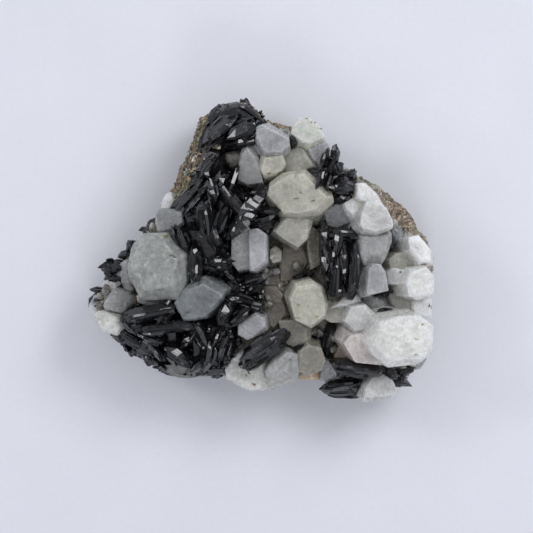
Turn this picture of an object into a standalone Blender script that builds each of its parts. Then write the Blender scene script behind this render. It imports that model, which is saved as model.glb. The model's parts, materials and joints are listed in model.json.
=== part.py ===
"""Epidote cluster: black epidote blades grown together with quartz crystals on host rock.

The specimen lies flat on the underside of its host rock, with the crystals up.
Tables are in millimetres, in the frame of the finished part: +X to the right,
+Y away from the viewer's feet as seen from above, +Z up from the ground.
The mesh of every piece is in metres.
"""

import math

import bmesh
import bpy
from mathutils import Euler, Vector

MM = 0.001
UP = Vector((0.0, 0.0, 1.0))
DOWN = -UP

# Gap between two pieces that touch
GAP = 0.3
ROCK_GAP = 0.38

# Host rock: top level, and how rough its broken sides are
ROCK_TOP = 13.0
ROCK_LIFT = 2.6
ROCK_PUSH = 0.05
# How far each ring of the rock reaches, as a share of the outline, and its height
ROCK_RINGS = (
    (0.79, 0.0),
    (0.90, 1.8),
    (0.95, 5.4),
    (1.0, 8.6),
    (0.955, 11.4),
    (0.87, ROCK_TOP),
)
CENTRE = Vector((2.0, -5.0, 0.0))

# Level that the tops of the crystals in the tables are measured from
DATUM = 2.5

# Quartz: the level that the crystals start from, the crust that joins them,
# how much they lean outwards for each millimetre from the centre, and their crowns
QUARTZ_FOOT = 9.5
CRUST_TOP = 17.0
QUARTZ_LEAN = 0.010
SHOULDER_DROP = 1.5
# Each body starts this much lower than the last, so that no two undersides coincide
FOOT_STEP = 0.013
CROWN_SLOPE = 50.0
CROWN_SPREAD = 16.0
SHORTEST_CROWN = 3.6

# Epidote: the level and side taper of the masses under the blades, and the
# slant of a blade's edges and ends, in degrees
EPIDOTE_FOOT = 9.5
MASS_TAPER = 10.0
EDGE_SLANT = 32.0
END_SLANT = 38.0

# Outline of the host rock at its widest, clockwise from the upper left
ROCK_OUTLINE = (
    (-13.6, 35.4), (-10.5, 36.5), (-6.5, 36.6), (-3.2, 35.2), (0.2, 34.5), (3.4, 32.8),
    (6.0, 32.6), (9.0, 32.0), (12.5, 31.0), (15.2, 27.6), (17.4, 24.4), (20.4, 22.5),
    (24.2, 20.0), (28.2, 17.7), (31.7, 15.0), (35.8, 12.3), (38.2, 9.3), (39.8, 5.8),
    (42.4, 2.9), (43.9, -1.6), (43.3, -6.2), (42.2, -11.0), (41.8, -17.0), (41.3, -23.5),
    (40.2, -27.3), (37.6, -31.5), (35.4, -34.0), (31.5, -35.4), (27.0, -36.4), (22.0, -35.4),
    (17.4, -33.4), (13.5, -31.5), (8.5, -31.7), (3.0, -33.4), (-2.0, -34.0), (-6.5, -32.4),
    (-12.0, -31.2), (-19.0, -31.6), (-24.4, -30.6), (-31.2, -27.3), (-37.6, -22.4),
    (-40.8, -18.7), (-42.8, -15.0), (-43.5, -11.5), (-40.6, -8.0), (-38.8, -4.5),
    (-35.2, -0.8), (-32.7, 2.6), (-29.2, 5.9), (-26.2, 9.4), (-24.3, 13.4), (-22.3, 17.8),
    (-20.8, 21.6), (-17.8, 24.7), (-16.2, 28.8), (-15.6, 32.0),
)

# Outlines of the two stretches of crust that the quartz crystals stand on
CRUST_MAIN = (
    (-6.0, 24.0), (-1.5, 29.5), (3.5, 30.5), (8.5, 30.5), (13.0, 29.5), (16.0, 24.0),
    (21.5, 18.0), (26.5, 14.0), (31.0, 9.0), (35.5, 6.0), (40.5, 2.0), (42.0, -3.0),
    (40.8, -10.0), (40.5, -22.0), (38.5, -28.0), (33.0, -34.0), (26.0, -35.0), (17.0, -31.5),
    (8.0, -30.6), (-1.0, -32.5), (-7.5, -30.0), (-6.0, -20.0), (-1.0, -10.0), (-7.0, 0.0),
    (-4.0, 10.0), (-6.0, 18.0),
)
CRUST_LEFT = (
    (-24.5, 12.5), (-20.0, 9.0), (-19.0, -3.0), (-10.0, -8.0), (-11.0, -14.0), (-20.0, -17.5),
    (-33.5, -17.0), (-38.0, -20.0), (-41.0, -16.0), (-41.5, -12.0), (-36.0, -5.0), (-31.5, 2.0),
    (-26.0, 8.0),
)

# Quartz crystals: top level, (direction and slope of the main face in degrees),
# side taper in degrees, reach of the main face, outline seen from above
QUARTZ_MAIN = {
    "big_cream": (27.0, (200, 9), 4, 0.80, (
        (1.3, 14.0), (2.1, 17.4), (5.2, 19.7), (10.8, 20.4), (17.4, 14.6), (17.8, 12.3),
        (14.4, 9.2), (9.5, 8.7), (5.3, 9.5))),
    "hexagon_below": (22.5, (262, 16), 3, 0.86, (
        (5.0, 9.4), (2.6, 5.2), (5.6, 2.9), (8.9, 1.0), (11.5, 3.3), (13.1, 9.0))),
    "twin_left": (22.5, (205, 12), 3, 0.80, (
        (-7.6, 3.0), (-6.6, 4.9), (-3.7, 6.7), (-1.6, 4.6), (-2.2, -4.2), (-6.0, -4.7), (-7.6, -2.6))),
    "twin_right": (24.6, (15, 6), 2, 0.74, (
        (-3.4, 3.2), (-3.2, 5.4), (-1.0, 5.9), (1.3, 4.3), (1.5, -2.6), (-1.4, -5.0), (-3.1, -4.7))),
    "small_beside_twin": (19.5, (60, 28), 4, 0.75, (
        (2.0, 0.6), (3.3, 1.6), (4.9, 0.5), (5.0, -2.4), (2.6, -3.1), (1.7, -1.6))),
    "grey_left_of_top": (25.0, (255, 14), 3, 0.82, (
        (-4.9, 26.2), (-2.6, 26.4), (-0.6, 23.0), (0.3, 17.0), (-3.6, 16.6), (-6.0, 17.8),
        (-5.8, 22.0))),
    "brown_grey": (20.5, (230, 20), 3, 0.78, (
        (-9.6, 24.7), (-5.0, 25.3), (-5.0, 22.3), (-6.5, 20.9), (-9.3, 20.9))),
    "top_grey": (27.6, (285, 8), 3, 0.78, (
        (-1.5, 30.2), (1.6, 31.8), (6.6, 28.6), (7.0, 26.0), (4.9, 24.3), (0.6, 24.1),
        (-1.7, 27.2))),
    "top_grey_shoulder": (24.8, (230, 30), 3, 0.85, (
        (-3.2, 26.6), (-1.4, 28.4), (0.6, 26.4), (0.1, 23.6), (-1.3, 24.0))),
    "yellow_prism": (25.2, (350, 10), 2, 0.72, (
        (-0.2, 24.4), (4.9, 24.6), (6.1, 21.6), (4.4, 19.1), (0.7, 18.1), (-1.0, 20.6))),
    "cream_behind": (22.6, (200, 14), 3, 0.85, (
        (5.4, 24.6), (7.0, 26.3), (10.8, 26.2), (13.3, 22.5), (13.3, 20.3), (9.0, 19.4), (5.8, 19.4))),
    "green_white": (25.8, (110, 14), 3, 0.82, (
        (7.0, 29.0), (7.6, 31.3), (9.1, 33.0), (12.2, 33.0), (14.2, 30.8), (15.6, 27.6),
        (11.7, 25.8), (9.2, 27.0))),
    "beside_green_white": (23.8, (300, 18), 3, 0.8, (
        (11.6, 26.2), (15.5, 27.7), (16.9, 25.5), (15.4, 23.2), (14.2, 21.6), (12.6, 22.5), (11.0, 25.0))),
    "grey_in_epidote": (22.6, (240, 16), 3, 0.8, (
        (15.2, 9.8), (17.3, 11.8), (20.3, 11.4), (22.2, 8.6), (21.6, 7.0), (18.4, 5.9), (16.2, 6.4))),
    "bright_chips": (25.6, (75, 30), 4, 0.8, (
        (19.9, 11.9), (22.6, 13.5), (25.2, 13.0), (25.0, 10.5), (22.4, 7.8), (20.6, 10.2))),
    "right_upper": (26.2, (40, 18), 3, 0.82, (
        (22.8, 13.2), (22.9, 16.9), (25.4, 17.0), (28.4, 14.3), (30.0, 11.4), (26.6, 11.6), (24.0, 12.2))),
    "right_large": (30.0, (20, 8), 3, 0.80, (
        (23.5, 6.3), (24.1, 9.4), (25.3, 12.3), (28.0, 12.7), (30.6, 10.6), (32.0, 7.7),
        (32.3, 5.8), (28.6, 4.3), (25.0, 4.8))),
    "right_grey": (25.4, (275, 22), 3, 0.86, (
        (23.0, 2.8), (23.8, 5.3), (31.6, 5.4), (32.1, 2.4), (30.6, -1.6), (29.3, -4.0),
        (25.4, -3.4), (24.0, -0.8))),
    "light_prism": (27.2, (330, 6), 3, 0.88, (
        (25.9, -4.0), (27.4, -2.8), (28.9, -3.0), (30.4, -4.9), (31.2, -9.6), (25.4, -11.1))),
    "light_prism_side": (24.0, (190, 24), 3, 0.88, (
        (23.6, -7.0), (25.0, -3.6), (27.0, -3.6), (27.0, -11.0), (24.4, -11.4), (23.4, -9.4))),
    "right_edge_upper": (26.4, (50, 16), 1, 0.78, (
        (35.6, 3.6), (38.6, 4.2), (41.9, 0.2), (42.7, -3.4), (38.8, -3.6), (35.8, 0.2))),
    "beige_right": (22.4, (200, 12), 3, 0.82, (
        (31.2, -1.8), (33.0, -0.2), (36.4, 0.2), (39.2, -2.8), (37.4, -4.0), (35.0, -4.6), (31.6, -4.0))),
    "right_middle": (23.4, (185, 15), 3, 0.8, (
        (30.7, -5.0), (32.2, -3.8), (35.4, -4.4), (35.7, -6.2), (35.2, -8.4), (31.2, -8.0))),
    "right_edge_middle": (27.2, (20, 12), 1, 0.80, (
        (34.9, -7.6), (36.4, -4.0), (40.2, -3.2), (42.6, -6.0), (42.3, -10.8), (38.4, -12.0),
        (35.4, -11.0))),
    "beige_triangle": (20.6, (160, 16), 3, 0.86, (
        (31.4, -10.2), (35.2, -10.8), (38.2, -12.2), (37.6, -15.6), (34.2, -15.6), (32.2, -12.8))),
    "right_edge_lower": (22.8, (10, 14), 1, 0.76, (
        (37.2, -12.0), (42.2, -11.4), (42.1, -16.4), (38.3, -16.4), (37.0, -14.2))),
    "big_white": (31.0, (40, 7), 1.5, 0.84, (
        (28.2, -17.0), (33.2, -15.7), (38.6, -15.5), (42.0, -18.0), (41.8, -24.6), (38.4, -27.8),
        (31.2, -28.6), (26.8, -24.8), (25.6, -22.2))),
    "pink_white": (26.4, (210, 10), 3, 0.84, (
        (20.0, -22.6), (21.6, -20.3), (27.2, -19.6), (30.2, -24.0), (29.8, -28.0), (22.9, -27.3))),
    "round_light": (25.2, (170, 10), 3, 0.80, (
        (20.2, -17.2), (21.8, -13.4), (25.4, -12.8), (28.2, -15.4), (27.0, -20.2), (22.7, -20.1))),
    "round_flat": (23.0, (215, 7), 3, 0.84, (
        (6.5, -11.4), (8.2, -7.6), (12.0, -6.6), (15.4, -8.6), (16.6, -12.4), (15.6, -16.6),
        (12.4, -19.0), (8.2, -17.0))),
    "triangle_light": (22.4, (80, 18), 3, 0.86, (
        (17.0, -13.9), (20.3, -10.9), (24.0, -10.4), (24.6, -12.2), (21.0, -13.6))),
    "under_triangle": (20.2, (230, 14), 3, 0.84, (
        (14.6, -12.0), (17.6, -11.0), (21.4, -13.2), (20.6, -17.6), (17.0, -17.6), (14.4, -16.0))),
    "shards_upper": (19.6, (300, 18), 3, 0.8, (
        (24.6, -11.0), (27.6, -10.6), (29.4, -13.9), (26.0, -14.4), (24.6, -13.0))),
    "shards_right": (18.4, (40, 22), 3, 0.8, (
        (27.4, -11.0), (31.4, -10.8), (32.6, -13.6), (30.4, -15.0), (28.2, -13.6))),
    "pocket_edge": (18.8, (200, 10), 3, 0.84, (
        (4.0, -17.0), (9.0, -16.6), (12.4, -18.8), (12.2, -22.6), (8.4, -24.0), (5.2, -22.4))),
    "beige_grey": (21.4, (250, 10), 3, 0.82, (
        (8.8, -24.6), (11.4, -22.5), (14.6, -23.4), (15.8, -26.6), (14.9, -29.2), (11.8, -30.8),
        (9.0, -29.8))),
    "pocket_pink": (17.4, (100, 14), 3, 0.8, (
        (17.8, -25.0), (19.8, -22.5), (23.0, -26.8), (18.0, -27.0))),
    "grey_bottom": (17.6, (270, 16), 2, 0.8, (
        (14.6, -28.0), (15.8, -26.4), (18.0, -27.0), (18.8, -30.6), (17.2, -32.3), (14.4, -32.1))),
    "orange_patch": (14.6, (250, 10), 1, 0.8, (
        (9.0, -29.8), (14.4, -29.0), (15.0, -31.9), (9.2, -32.0))),
    "bottom_grey": (21.2, (290, 10), 1.5, 0.80, (
        (2.4, -26.8), (5.9, -24.2), (9.2, -25.2), (9.4, -30.4), (7.8, -32.6), (2.2, -34.5), (0.4, -29.6))),
    "bottom_white": (18.4, (240, 12), 1.5, 0.80, (
        (-9.3, -29.0), (-7.6, -26.4), (-5.4, -25.0), (1.2, -27.0), (2.4, -34.4), (-3.2, -34.8),
        (-9.0, -31.6))),
    "striated_small": (21.6, (215, 18), 3, 0.82, (
        (-6.0, -18.2), (-1.6, -14.9), (0.9, -16.0), (1.6, -19.4), (-3.6, -22.0), (-6.0, -20.6))),
    "brown_well_upper": (15.6, (150, 12), 3, 0.82, (
        (-0.8, -8.4), (3.4, -8.2), (5.4, -10.6), (4.4, -13.4), (-1.2, -12.8))),
    "brown_well_lower": (16.4, (110, 16), 3, 0.82, (
        (0.4, -12.8), (5.0, -11.8), (7.0, -15.6), (4.6, -19.0), (1.4, -19.0), (0.2, -15.6))),
    "valley_grey": (16.2, (300, 10), 3, 0.84, (
        (4.4, 3.0), (10.6, 2.2), (11.8, -2.0), (8.8, -7.0), (4.6, -7.4), (4.0, -1.6))),
    "valley_strip": (17.8, (10, 14), 3, 0.84, (
        (11.4, 7.8), (14.2, 5.0), (14.9, -3.0), (12.0, -4.6), (11.0, 1.6))),
    "valley_low": (14.8, (60, 8), 3, 0.84, (
        (0.6, -4.2), (5.2, -3.4), (6.0, -8.6), (-0.4, -8.8))),
    "lower_right": (20.4, (60, 12), 1, 0.76, (
        (25.3, -33.4), (27.4, -30.8), (30.2, -30.4), (32.6, -32.0), (33.6, -34.6), (31.6, -36.5),
        (26.6, -37.5), (24.6, -36.9))),
    "right_shards": (20.6, (60, 26), 3, 0.82, (
        (31.6, 4.6), (32.6, 6.8), (34.6, 6.4), (35.6, 3.4), (34.6, 2.0), (32.8, 2.4))),
    "edge_chip": (13.6, (330, 22), 1, 0.8, (
        (38.0, -27.6), (40.9, -25.2), (41.1, -26.8), (39.6, -29.2), (37.9, -29.4))),
}
QUARTZ_LEFT = {
    "big_left": (27.0, (150, 8), 3, 0.74, (
        (-32.6, 1.0), (-30.6, 4.4), (-24.0, 4.8), (-18.8, -0.4), (-19.2, -7.2), (-21.4, -11.6),
        (-30.2, -12.0), (-33.5, -5.6))),
    "big_left_foot": (19.4, (265, 30), 3, 0.86, (
        (-31.0, -10.6), (-21.4, -10.8), (-20.6, -12.6), (-26.0, -13.8), (-30.8, -12.6))),
    "upper_left": (21.8, (140, 12), 2, 0.78, (
        (-26.3, 9.8), (-25.0, 11.0), (-19.6, 10.4), (-19.2, 7.2), (-21.6, 4.8), (-25.4, 4.4), (-26.4, 7.0))),
    "bright_chip": (16.4, (130, 24), 1, 0.8, (
        (-25.0, 12.0), (-24.4, 14.2), (-22.7, 15.2), (-21.6, 12.4), (-22.8, 10.0), (-24.9, 10.2))),
    "dark_grey_large": (24.4, (235, 12), 3, 0.80, (
        (-20.0, -8.8), (-14.4, -5.9), (-8.6, -9.2), (-9.8, -12.4), (-14.0, -16.6), (-19.4, -17.4),
        (-21.8, -12.8))),
    "left_rough": (17.6, (300, 12), 2, 0.80, (
        (-39.2, -11.6), (-36.6, -8.8), (-32.8, -9.6), (-31.6, -12.6), (-34.8, -15.4), (-39.2, -14.6))),
    "left_upper_rough": (17.0, (210, 16), 2, 0.80, (
        (-35.4, -3.0), (-33.4, -1.6), (-31.6, -4.6), (-31.8, -9.8), (-34.4, -10.0), (-35.4, -6.4))),
    "left_bottom": (19.2, (140, 10), 1, 0.80, (
        (-42.5, -15.2), (-40.2, -14.6), (-36.0, -15.9), (-34.2, -18.4), (-36.0, -20.9), (-39.6, -19.9))),
    "left_tip": (14.4, (200, 16), 1, 0.80, (
        (-43.3, -13.2), (-41.6, -10.6), (-38.6, -11.0), (-39.2, -15.4), (-42.6, -15.4))),
    "left_edge_pale": (15.8, (170, 18), 1, 0.80, (
        (-40.0, -7.6), (-37.6, -6.4), (-35.4, -8.2), (-36.2, -10.6), (-39.6, -9.8))),
}

# Masses under the epidote blades: top level, (direction and slope of the top),
# outline seen from above
MAIN_MASSES = (
    (23.0, (90, 18), ((-13.2, 31.8), (-9.4, 34.6), (-5.0, 34.8), (-1.8, 32.6), (-0.6, 30.4),
                      (-2.2, 27.2), (-5.2, 26.0), (-11.0, 26.0), (-14.0, 28.0))),
    (22.0, (170, 14), ((-14.6, 28.0), (-9.4, 27.4), (-7.6, 14.0), (-14.0, 13.0), (-18.4, 16.0),
                       (-17.4, 21.0))),
    (22.5, (190, 10), ((-21.6, 10.8), (-18.6, 15.0), (-6.0, 16.2), (0.8, 15.2), (3.8, 10.0),
                       (0.0, 6.8), (-20.0, 6.4))),
    (21.5, (230, 10), ((-20.4, 7.6), (-3.8, 7.6), (-8.2, 2.0), (-14.4, -5.6), (-18.2, -5.8),
                       (-19.8, 0.0))),
    (20.5, (260, 8), ((-14.0, 2.6), (-8.2, 2.4), (-8.0, -5.4), (-13.8, -5.8))),
    (17.5, (300, 8), ((-9.0, -3.4), (-0.2, -4.8), (0.2, -12.0), (-3.4, -16.0), (-8.4, -18.4),
                      (-10.2, -12.0))),
    (19.5, (280, 10), ((-14.2, -16.8), (-7.6, -16.0), (-5.8, -19.6), (-7.6, -26.0), (-9.8, -29.4),
                       (-18.6, -29.6), (-20.6, -19.0))),
    (18.0, (220, 12), ((-33.6, -16.4), (-31.0, -14.4), (-21.8, -14.0), (-18.6, -18.0), (-19.0, -29.2),
                       (-24.2, -28.4), (-31.0, -25.0), (-35.4, -21.0))),
)

# Epidote blades: x, y, top level, length, width, thickness, heading, pitch, roll
MAIN_BLADES = (
    (-7.0, 35.6, 22.0, 5.4, 3.6, 5.0, 10, -18, 0),
    (-11.0, 33.6, 24.5, 6.2, 4.2, 5.0, 58, -10, 14),
    (-8.4, 33.6, 26.0, 7.0, 4.0, 5.0, 18, 6, 22),
    (-4.0, 33.6, 25.5, 5.4, 4.4, 5.0, -34, 6, 16),
    (-5.2, 29.6, 29.0, 8.4, 6.2, 6.0, 24, 8, -12),
    (-10.2, 30.2, 28.5, 8.6, 5.2, 6.0, 42, -6, 12),
    (-2.4, 29.6, 27.0, 5.8, 3.6, 5.0, 74, 8, -20),
    (-13.2, 28.6, 23.5, 7.6, 4.0, 5.0, 64, -8, 24),
    (-4.8, 26.8, 27.5, 6.4, 2.4, 4.0, 10, 10, -16),
    (-14.8, 23.6, 21.5, 5.2, 4.0, 5.0, 78, -10, 18),
    (-12.8, 21.2, 25.5, 6.4, 4.0, 5.0, 52, 6, -8),
    (-15.6, 18.2, 23.5, 5.6, 3.4, 5.0, 62, -12, 16),
    (-6.7, 18.6, 27.0, 5.4, 1.2, 4.0, 68, 16, 0),
    (-9.6, 17.4, 27.0, 4.4, 2.4, 4.0, 46, 8, -12),
    (-18.0, 14.4, 22.5, 10.4, 3.2, 4.5, 45, 8, 12),
    (-19.8, 12.0, 21.0, 8.4, 2.8, 4.5, 42, 10, 20),
    (-16.2, 12.4, 25.0, 8.4, 3.2, 4.5, 50, 8, -10),
    (-12.2, 15.0, 28.0, 5.4, 2.2, 4.0, 100, 14, 10),
    (-8.9, 14.0, 28.0, 7.4, 3.0, 4.5, 125, -8, 12),
    (-14.0, 8.6, 27.5, 8.4, 5.2, 5.0, 98, 5, -6),
    (-6.4, 11.4, 28.5, 7.2, 3.0, 4.5, 130, -6, -12),
    (-3.9, 9.4, 31.5, 13.0, 3.0, 4.5, 52, 9, -5),
    (-1.4, 11.6, 30.6, 5.6, 1.5, 4.0, 50, 10, 0),
    (-6.7, 5.6, 27.0, 5.4, 2.4, 4.5, 56, 8, 12),
    (0.0, 15.0, 26.0, 4.6, 3.2, 4.5, 4, 6, 12),
    (1.8, 10.2, 26.6, 5.8, 1.8, 4.0, 4, 10, 14),
    (0.6, 7.4, 24.6, 6.4, 4.2, 4.5, 20, -6, -12),
    (-9.6, 8.4, 27.5, 7.2, 3.6, 4.5, 70, 8, 12),
    (-12.0, 4.0, 26.0, 6.4, 3.6, 4.5, 110, -6, 16),
    (-19.9, 3.0, 26.0, 6.8, 3.6, 5.0, 114, 8, 12),
    (-16.7, -2.9, 26.0, 9.2, 3.6, 5.0, 96, 6, -10),
    (-10.6, -2.4, 26.5, 6.8, 2.2, 4.5, 4, 6, -12),
    (-2.8, -6.8, 20.5, 5.2, 3.2, 4.5, 20, 8, 12),
    (-1.8, -9.3, 21.6, 3.4, 2.6, 4.0, 22, -6, 10),
    (-0.6, -14.0, 20.4, 4.4, 2.4, 5.0, 100, 6, 12),
    (-4.0, -12.6, 22.4, 7.2, 3.0, 4.5, -20, 6, -12),
    (-7.0, -12.0, 23.6, 5.4, 1.8, 4.5, -10, 6, 12),
    (-8.7, -14.8, 26.0, 5.4, 2.8, 5.0, 60, 10, -10),
    (-5.5, -15.6, 24.0, 5.4, 3.0, 5.0, 40, 6, 12),
    (-9.6, -17.4, 23.6, 5.4, 2.8, 4.5, 100, 6, -12),
    (-28.0, -15.2, 26.0, 13.0, 4.2, 5.0, 12, 5, 8),
    (-23.8, -15.2, 25.6, 6.4, 3.2, 5.0, 60, -6, -10),
    (-33.2, -17.8, 22.6, 4.8, 2.8, 5.0, -50, 8, 12),
    (-30.4, -18.2, 22.8, 5.6, 3.2, 4.5, 10, -8, -14),
    (-24.4, -18.9, 25.0, 11.4, 3.2, 4.5, 6, 5, -14),
    (-18.8, -18.4, 24.6, 6.4, 2.6, 4.5, -16, 5, 10),
    (-27.2, -21.6, 22.6, 6.6, 3.6, 4.5, -20, 6, 12),
    (-33.0, -21.4, 18.2, 5.6, 3.6, 5.0, -30, 8, -10),
    (-26.8, -24.2, 21.4, 6.2, 2.2, 4.5, -50, 8, 14),
    (-21.1, -25.5, 23.4, 7.8, 3.8, 4.5, -36, 6, 12),
    (-18.6, -22.0, 24.0, 4.2, 2.0, 4.5, 50, 10, 12),
    (-15.4, -20.6, 24.0, 6.6, 4.0, 4.5, -60, 6, -10),
    (-11.2, -21.4, 25.4, 4.4, 1.4, 4.5, 62, 12, 0),
    (-13.4, -25.0, 23.0, 8.4, 4.0, 4.5, 80, -6, 10),
    (-9.4, -24.0, 21.6, 7.6, 4.0, 4.5, 70, -8, -12),
    (-15.6, -27.6, 20.8, 6.6, 3.8, 4.5, 40, -8, 12),
    (-11.6, -29.2, 18.4, 5.8, 3.6, 4.5, 4, -6, -10),
    (-29.2, -25.0, 16.6, 7.4, 3.8, 4.5, -34, 6, -14),
    (-24.4, -29.2, 14.2, 6.4, 2.6, 4.5, -26, 6, -12),
)
GREY_BLOCK = ((-19.8, -29.1, 19.6, 8.6, 4.6, 9.0, -6, -6, -10),)

SPRAY_BLADES = (
    (15.7, -0.3, 27.0, 12.6, 2.6, 6.0, 92, 4, -10),
    (16.9, -1.2, 29.0, 8.6, 1.8, 6.0, 95, -4, 8),
    (18.6, 1.4, 31.0, 6.6, 1.8, 6.0, 76, 8, -12),
    (18.1, -5.4, 28.6, 13.4, 3.0, 6.0, 88, 4, 6),
    (20.1, -2.4, 29.8, 8.8, 2.0, 6.0, 92, 5, -10),
    (22.3, -3.5, 28.2, 14.0, 3.6, 7.0, 90, -4, 10),
    (22.1, -9.0, 25.4, 5.4, 2.4, 6.0, 85, 6, 0),
    (18.0, -9.8, 25.6, 5.0, 2.6, 6.0, 70, 6, 8),
    (19.6, -8.6, 26.6, 4.6, 1.8, 6.0, 110, 5, -8),
    (22.0, 3.9, 27.2, 4.4, 2.4, 6.0, 0, 8, 6),
    (15.5, 5.6, 24.6, 4.4, 1.8, 6.0, 84, 8, 6),
    (18.4, 4.4, 26.0, 7.4, 2.6, 6.0, 4, 5, -8),
    (16.4, -6.4, 25.6, 5.6, 2.4, 6.0, 84, -4, -8),
)
SPIKE_BLADES = (
    (22.9, 6.7, 27.4, 4.6, 1.5, 8.0, 58, 10, 0),
)
UPPER_RIGHT_BLADES = (
    (15.4, 22.9, 29.6, 5.6, 1.5, 5.0, 68, 8, -12),
    (18.0, 23.5, 28.4, 5.2, 2.4, 6.0, 84, 8, 10),
    (16.7, 21.5, 28.8, 5.2, 2.6, 6.0, 64, -6, 12),
    (18.4, 20.5, 29.6, 3.4, 3.0, 6.0, 44, 6, -12),
    (13.9, 19.9, 26.6, 6.2, 2.6, 6.0, 8, 6, 12),
    (15.0, 18.4, 30.0, 5.2, 2.0, 6.0, 70, 7, -8),
    (16.5, 17.4, 28.6, 4.8, 2.2, 6.0, 72, -6, 12),
    (20.4, 18.8, 26.6, 3.4, 2.8, 6.0, 12, 6, 10),
    (22.0, 18.1, 26.8, 3.2, 2.6, 6.0, 64, -6, -12),
    (19.5, 16.3, 29.2, 5.6, 4.0, 6.0, 4, 6, 8),
    (22.2, 15.4, 26.0, 4.0, 2.0, 6.0, -34, 8, 10),
    (19.9, 13.3, 27.0, 3.4, 2.6, 7.0, 20, 6, -12),
    (22.0, 12.7, 26.0, 2.8, 2.2, 7.0, 40, -6, 10),
    (17.9, 14.0, 25.0, 3.4, 3.0, 6.0, 50, 6, 10),
    (17.6, 11.9, 25.6, 4.4, 2.4, 8.0, 30, -6, 10),
)
LENS_BLADES = (
    (0.2, -24.2, 24.4, 13.2, 6.0, 6.0, 37, 6, -12),
    (1.8, -22.4, 25.2, 8.6, 3.0, 4.0, 37, 5, -14),
    (-0.6, -25.6, 24.2, 8.6, 3.0, 4.0, 33, 6, 8),
)
LOWER_BLADES = (
    (23.8, -28.7, 24.0, 13.2, 3.4, 5.0, -9, 5, 10),
    (22.2, -29.4, 22.6, 8.6, 3.0, 5.0, -16, 6, -10),
    (28.4, -29.2, 22.0, 4.4, 2.0, 5.0, 10, 6, 10),
    (31.6, -30.0, 20.4, 5.4, 3.0, 7.0, -30, 6, 12),
    (34.6, -30.2, 17.6, 6.4, 2.6, 7.0, 14, -6, 8),
    (34.6, -32.4, 15.6, 4.8, 3.0, 7.0, -16, 6, -12),
    (36.6, -29.4, 15.4, 4.4, 2.6, 7.0, 50, -6, 10),
)
EDGE_BLADES = (
    (20.4, -33.0, 19.4, 9.6, 2.6, 5.0, 8, 5, 12),
    (20.4, -34.5, 18.2, 9.8, 2.8, 6.0, 2, 4, -8),
    (20.8, -35.7, 15.8, 7.6, 2.0, 6.0, -4, 5, -10),
    (17.4, -34.0, 17.2, 4.6, 3.0, 6.0, 12, -6, 8),
)

# Crystals by themselves: a node name, then its blades as above
SINGLE_CRYSTALS = {
    "epidote_left_edge_block": (
        (-37.0, -3.9, 18.6, 4.6, 4.4, 8.0, 10, 8, 10),
        (-36.6, -6.6, 17.6, 4.6, 3.6, 8.0, 4, -6, -8)),
    "epidote_left_tip_lumps": (
        (-41.2, -12.0, 16.2, 3.4, 3.2, 7.0, 40, 6, 8),
        (-40.2, -10.2, 15.4, 4.6, 2.6, 6.0, -8, -6, 10)),
    "epidote_upper_left_pair": (
        (-34.3, -0.7, 15.4, 3.8, 2.2, 6.0, 16, 8, 6),
        (-33.4, 1.0, 14.6, 3.0, 1.8, 6.0, 60, 6, 8),
        (-33.3, 2.4, 13.2, 1.9, 1.6, 5.0, 20, 6, 8)),
    "epidote_upper_left_wedge": (
        (-27.7, 6.8, 16.8, 3.8, 2.2, 7.0, 40, 8, 8),
        (-29.6, 5.6, 13.2, 2.0, 1.6, 5.0, 10, 6, 6)),
    "epidote_pocket_prisms": (
        (16.9, -21.8, 17.8, 8.4, 3.2, 6.0, 78, -8, 12),
        (13.8, -21.4, 15.4, 5.0, 3.2, 4.0, 84, -10, 8),
        (19.6, -19.6, 17.0, 4.6, 2.6, 6.0, 30, 8, 8)),
    "epidote_valley_chip": (
        (10.4, -6.1, 18.4, 4.6, 2.4, 5.0, 12, 6, 8),),
    "epidote_top_chip": (
        (7.9, 27.3, 26.6, 3.0, 2.0, 6.0, 96, 6, 8),),
    "epidote_right_pair": (
        (30.8, -14.9, 27.2, 3.6, 2.0, 10.0, -6, 6, 8),
        (28.9, -15.8, 27.6, 3.2, 1.8, 10.0, 8, -6, 8)),
    "epidote_right_chip": (
        (31.0, -10.2, 22.0, 2.4, 1.8, 6.0, 0, 6, 8),),
    "epidote_lower_chip": (
        (9.5, -24.0, 22.4, 3.0, 1.7, 6.0, 22, 6, 8),),
    "epidote_right_rim_crystals": (
        (33.0, 2.1, 21.6, 3.0, 1.8, 7.0, 30, 6, 8),
        (34.6, 4.2, 21.2, 2.4, 1.9, 7.0, 80, 6, -8)),
}

# Colour, roughness and metallic value of each finish
FINISHES = {
    "host_rock": ((0.32, 0.30, 0.24), 0.9, 0.0),
    "quartz": ((0.62, 0.61, 0.60), 0.22, 0.0),
    "epidote": ((0.012, 0.014, 0.014), 0.2, 0.0),
    "grey_crystal": ((0.12, 0.13, 0.13), 0.45, 0.0),
}


def clear_scene():
    for thing in list(bpy.data.objects):
        bpy.data.objects.remove(thing, do_unlink=True)


def finish(name):
    material = bpy.data.materials.get(name)
    if material is None:
        colour, roughness, metallic = FINISHES[name]
        material = bpy.data.materials.new(name)
        material.use_nodes = True
        shader = material.node_tree.nodes["Principled BSDF"]
        shader.inputs["Base Color"].default_value = (*colour, 1.0)
        shader.inputs["Roughness"].default_value = roughness
        shader.inputs["Metallic"].default_value = metallic
    return material


def add_object(name, mesh_data, slot):
    mesh = bpy.data.meshes.new(name)
    mesh_data.to_mesh(mesh)
    mesh_data.free()
    thing = bpy.data.objects.new(name, mesh)
    thing.data.materials.append(finish(slot))
    bpy.context.scene.collection.objects.link(thing)
    return thing


def wobble(row, column):
    """A fixed value from -0.5 to 0.5 that differs for every face of every crystal."""
    return math.modf(abs(math.sin(row * 12.9898 + column * 78.233)) * 43758.5453)[0] - 0.5


def facing(azimuth, slope):
    """Outward normal of a face that falls away towards an azimuth, both in degrees."""
    turn = math.radians(azimuth)
    fall = math.radians(slope)
    level = Vector((math.cos(turn), math.sin(turn), 0.0))
    return level * math.sin(fall) + UP * math.cos(fall)


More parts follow.
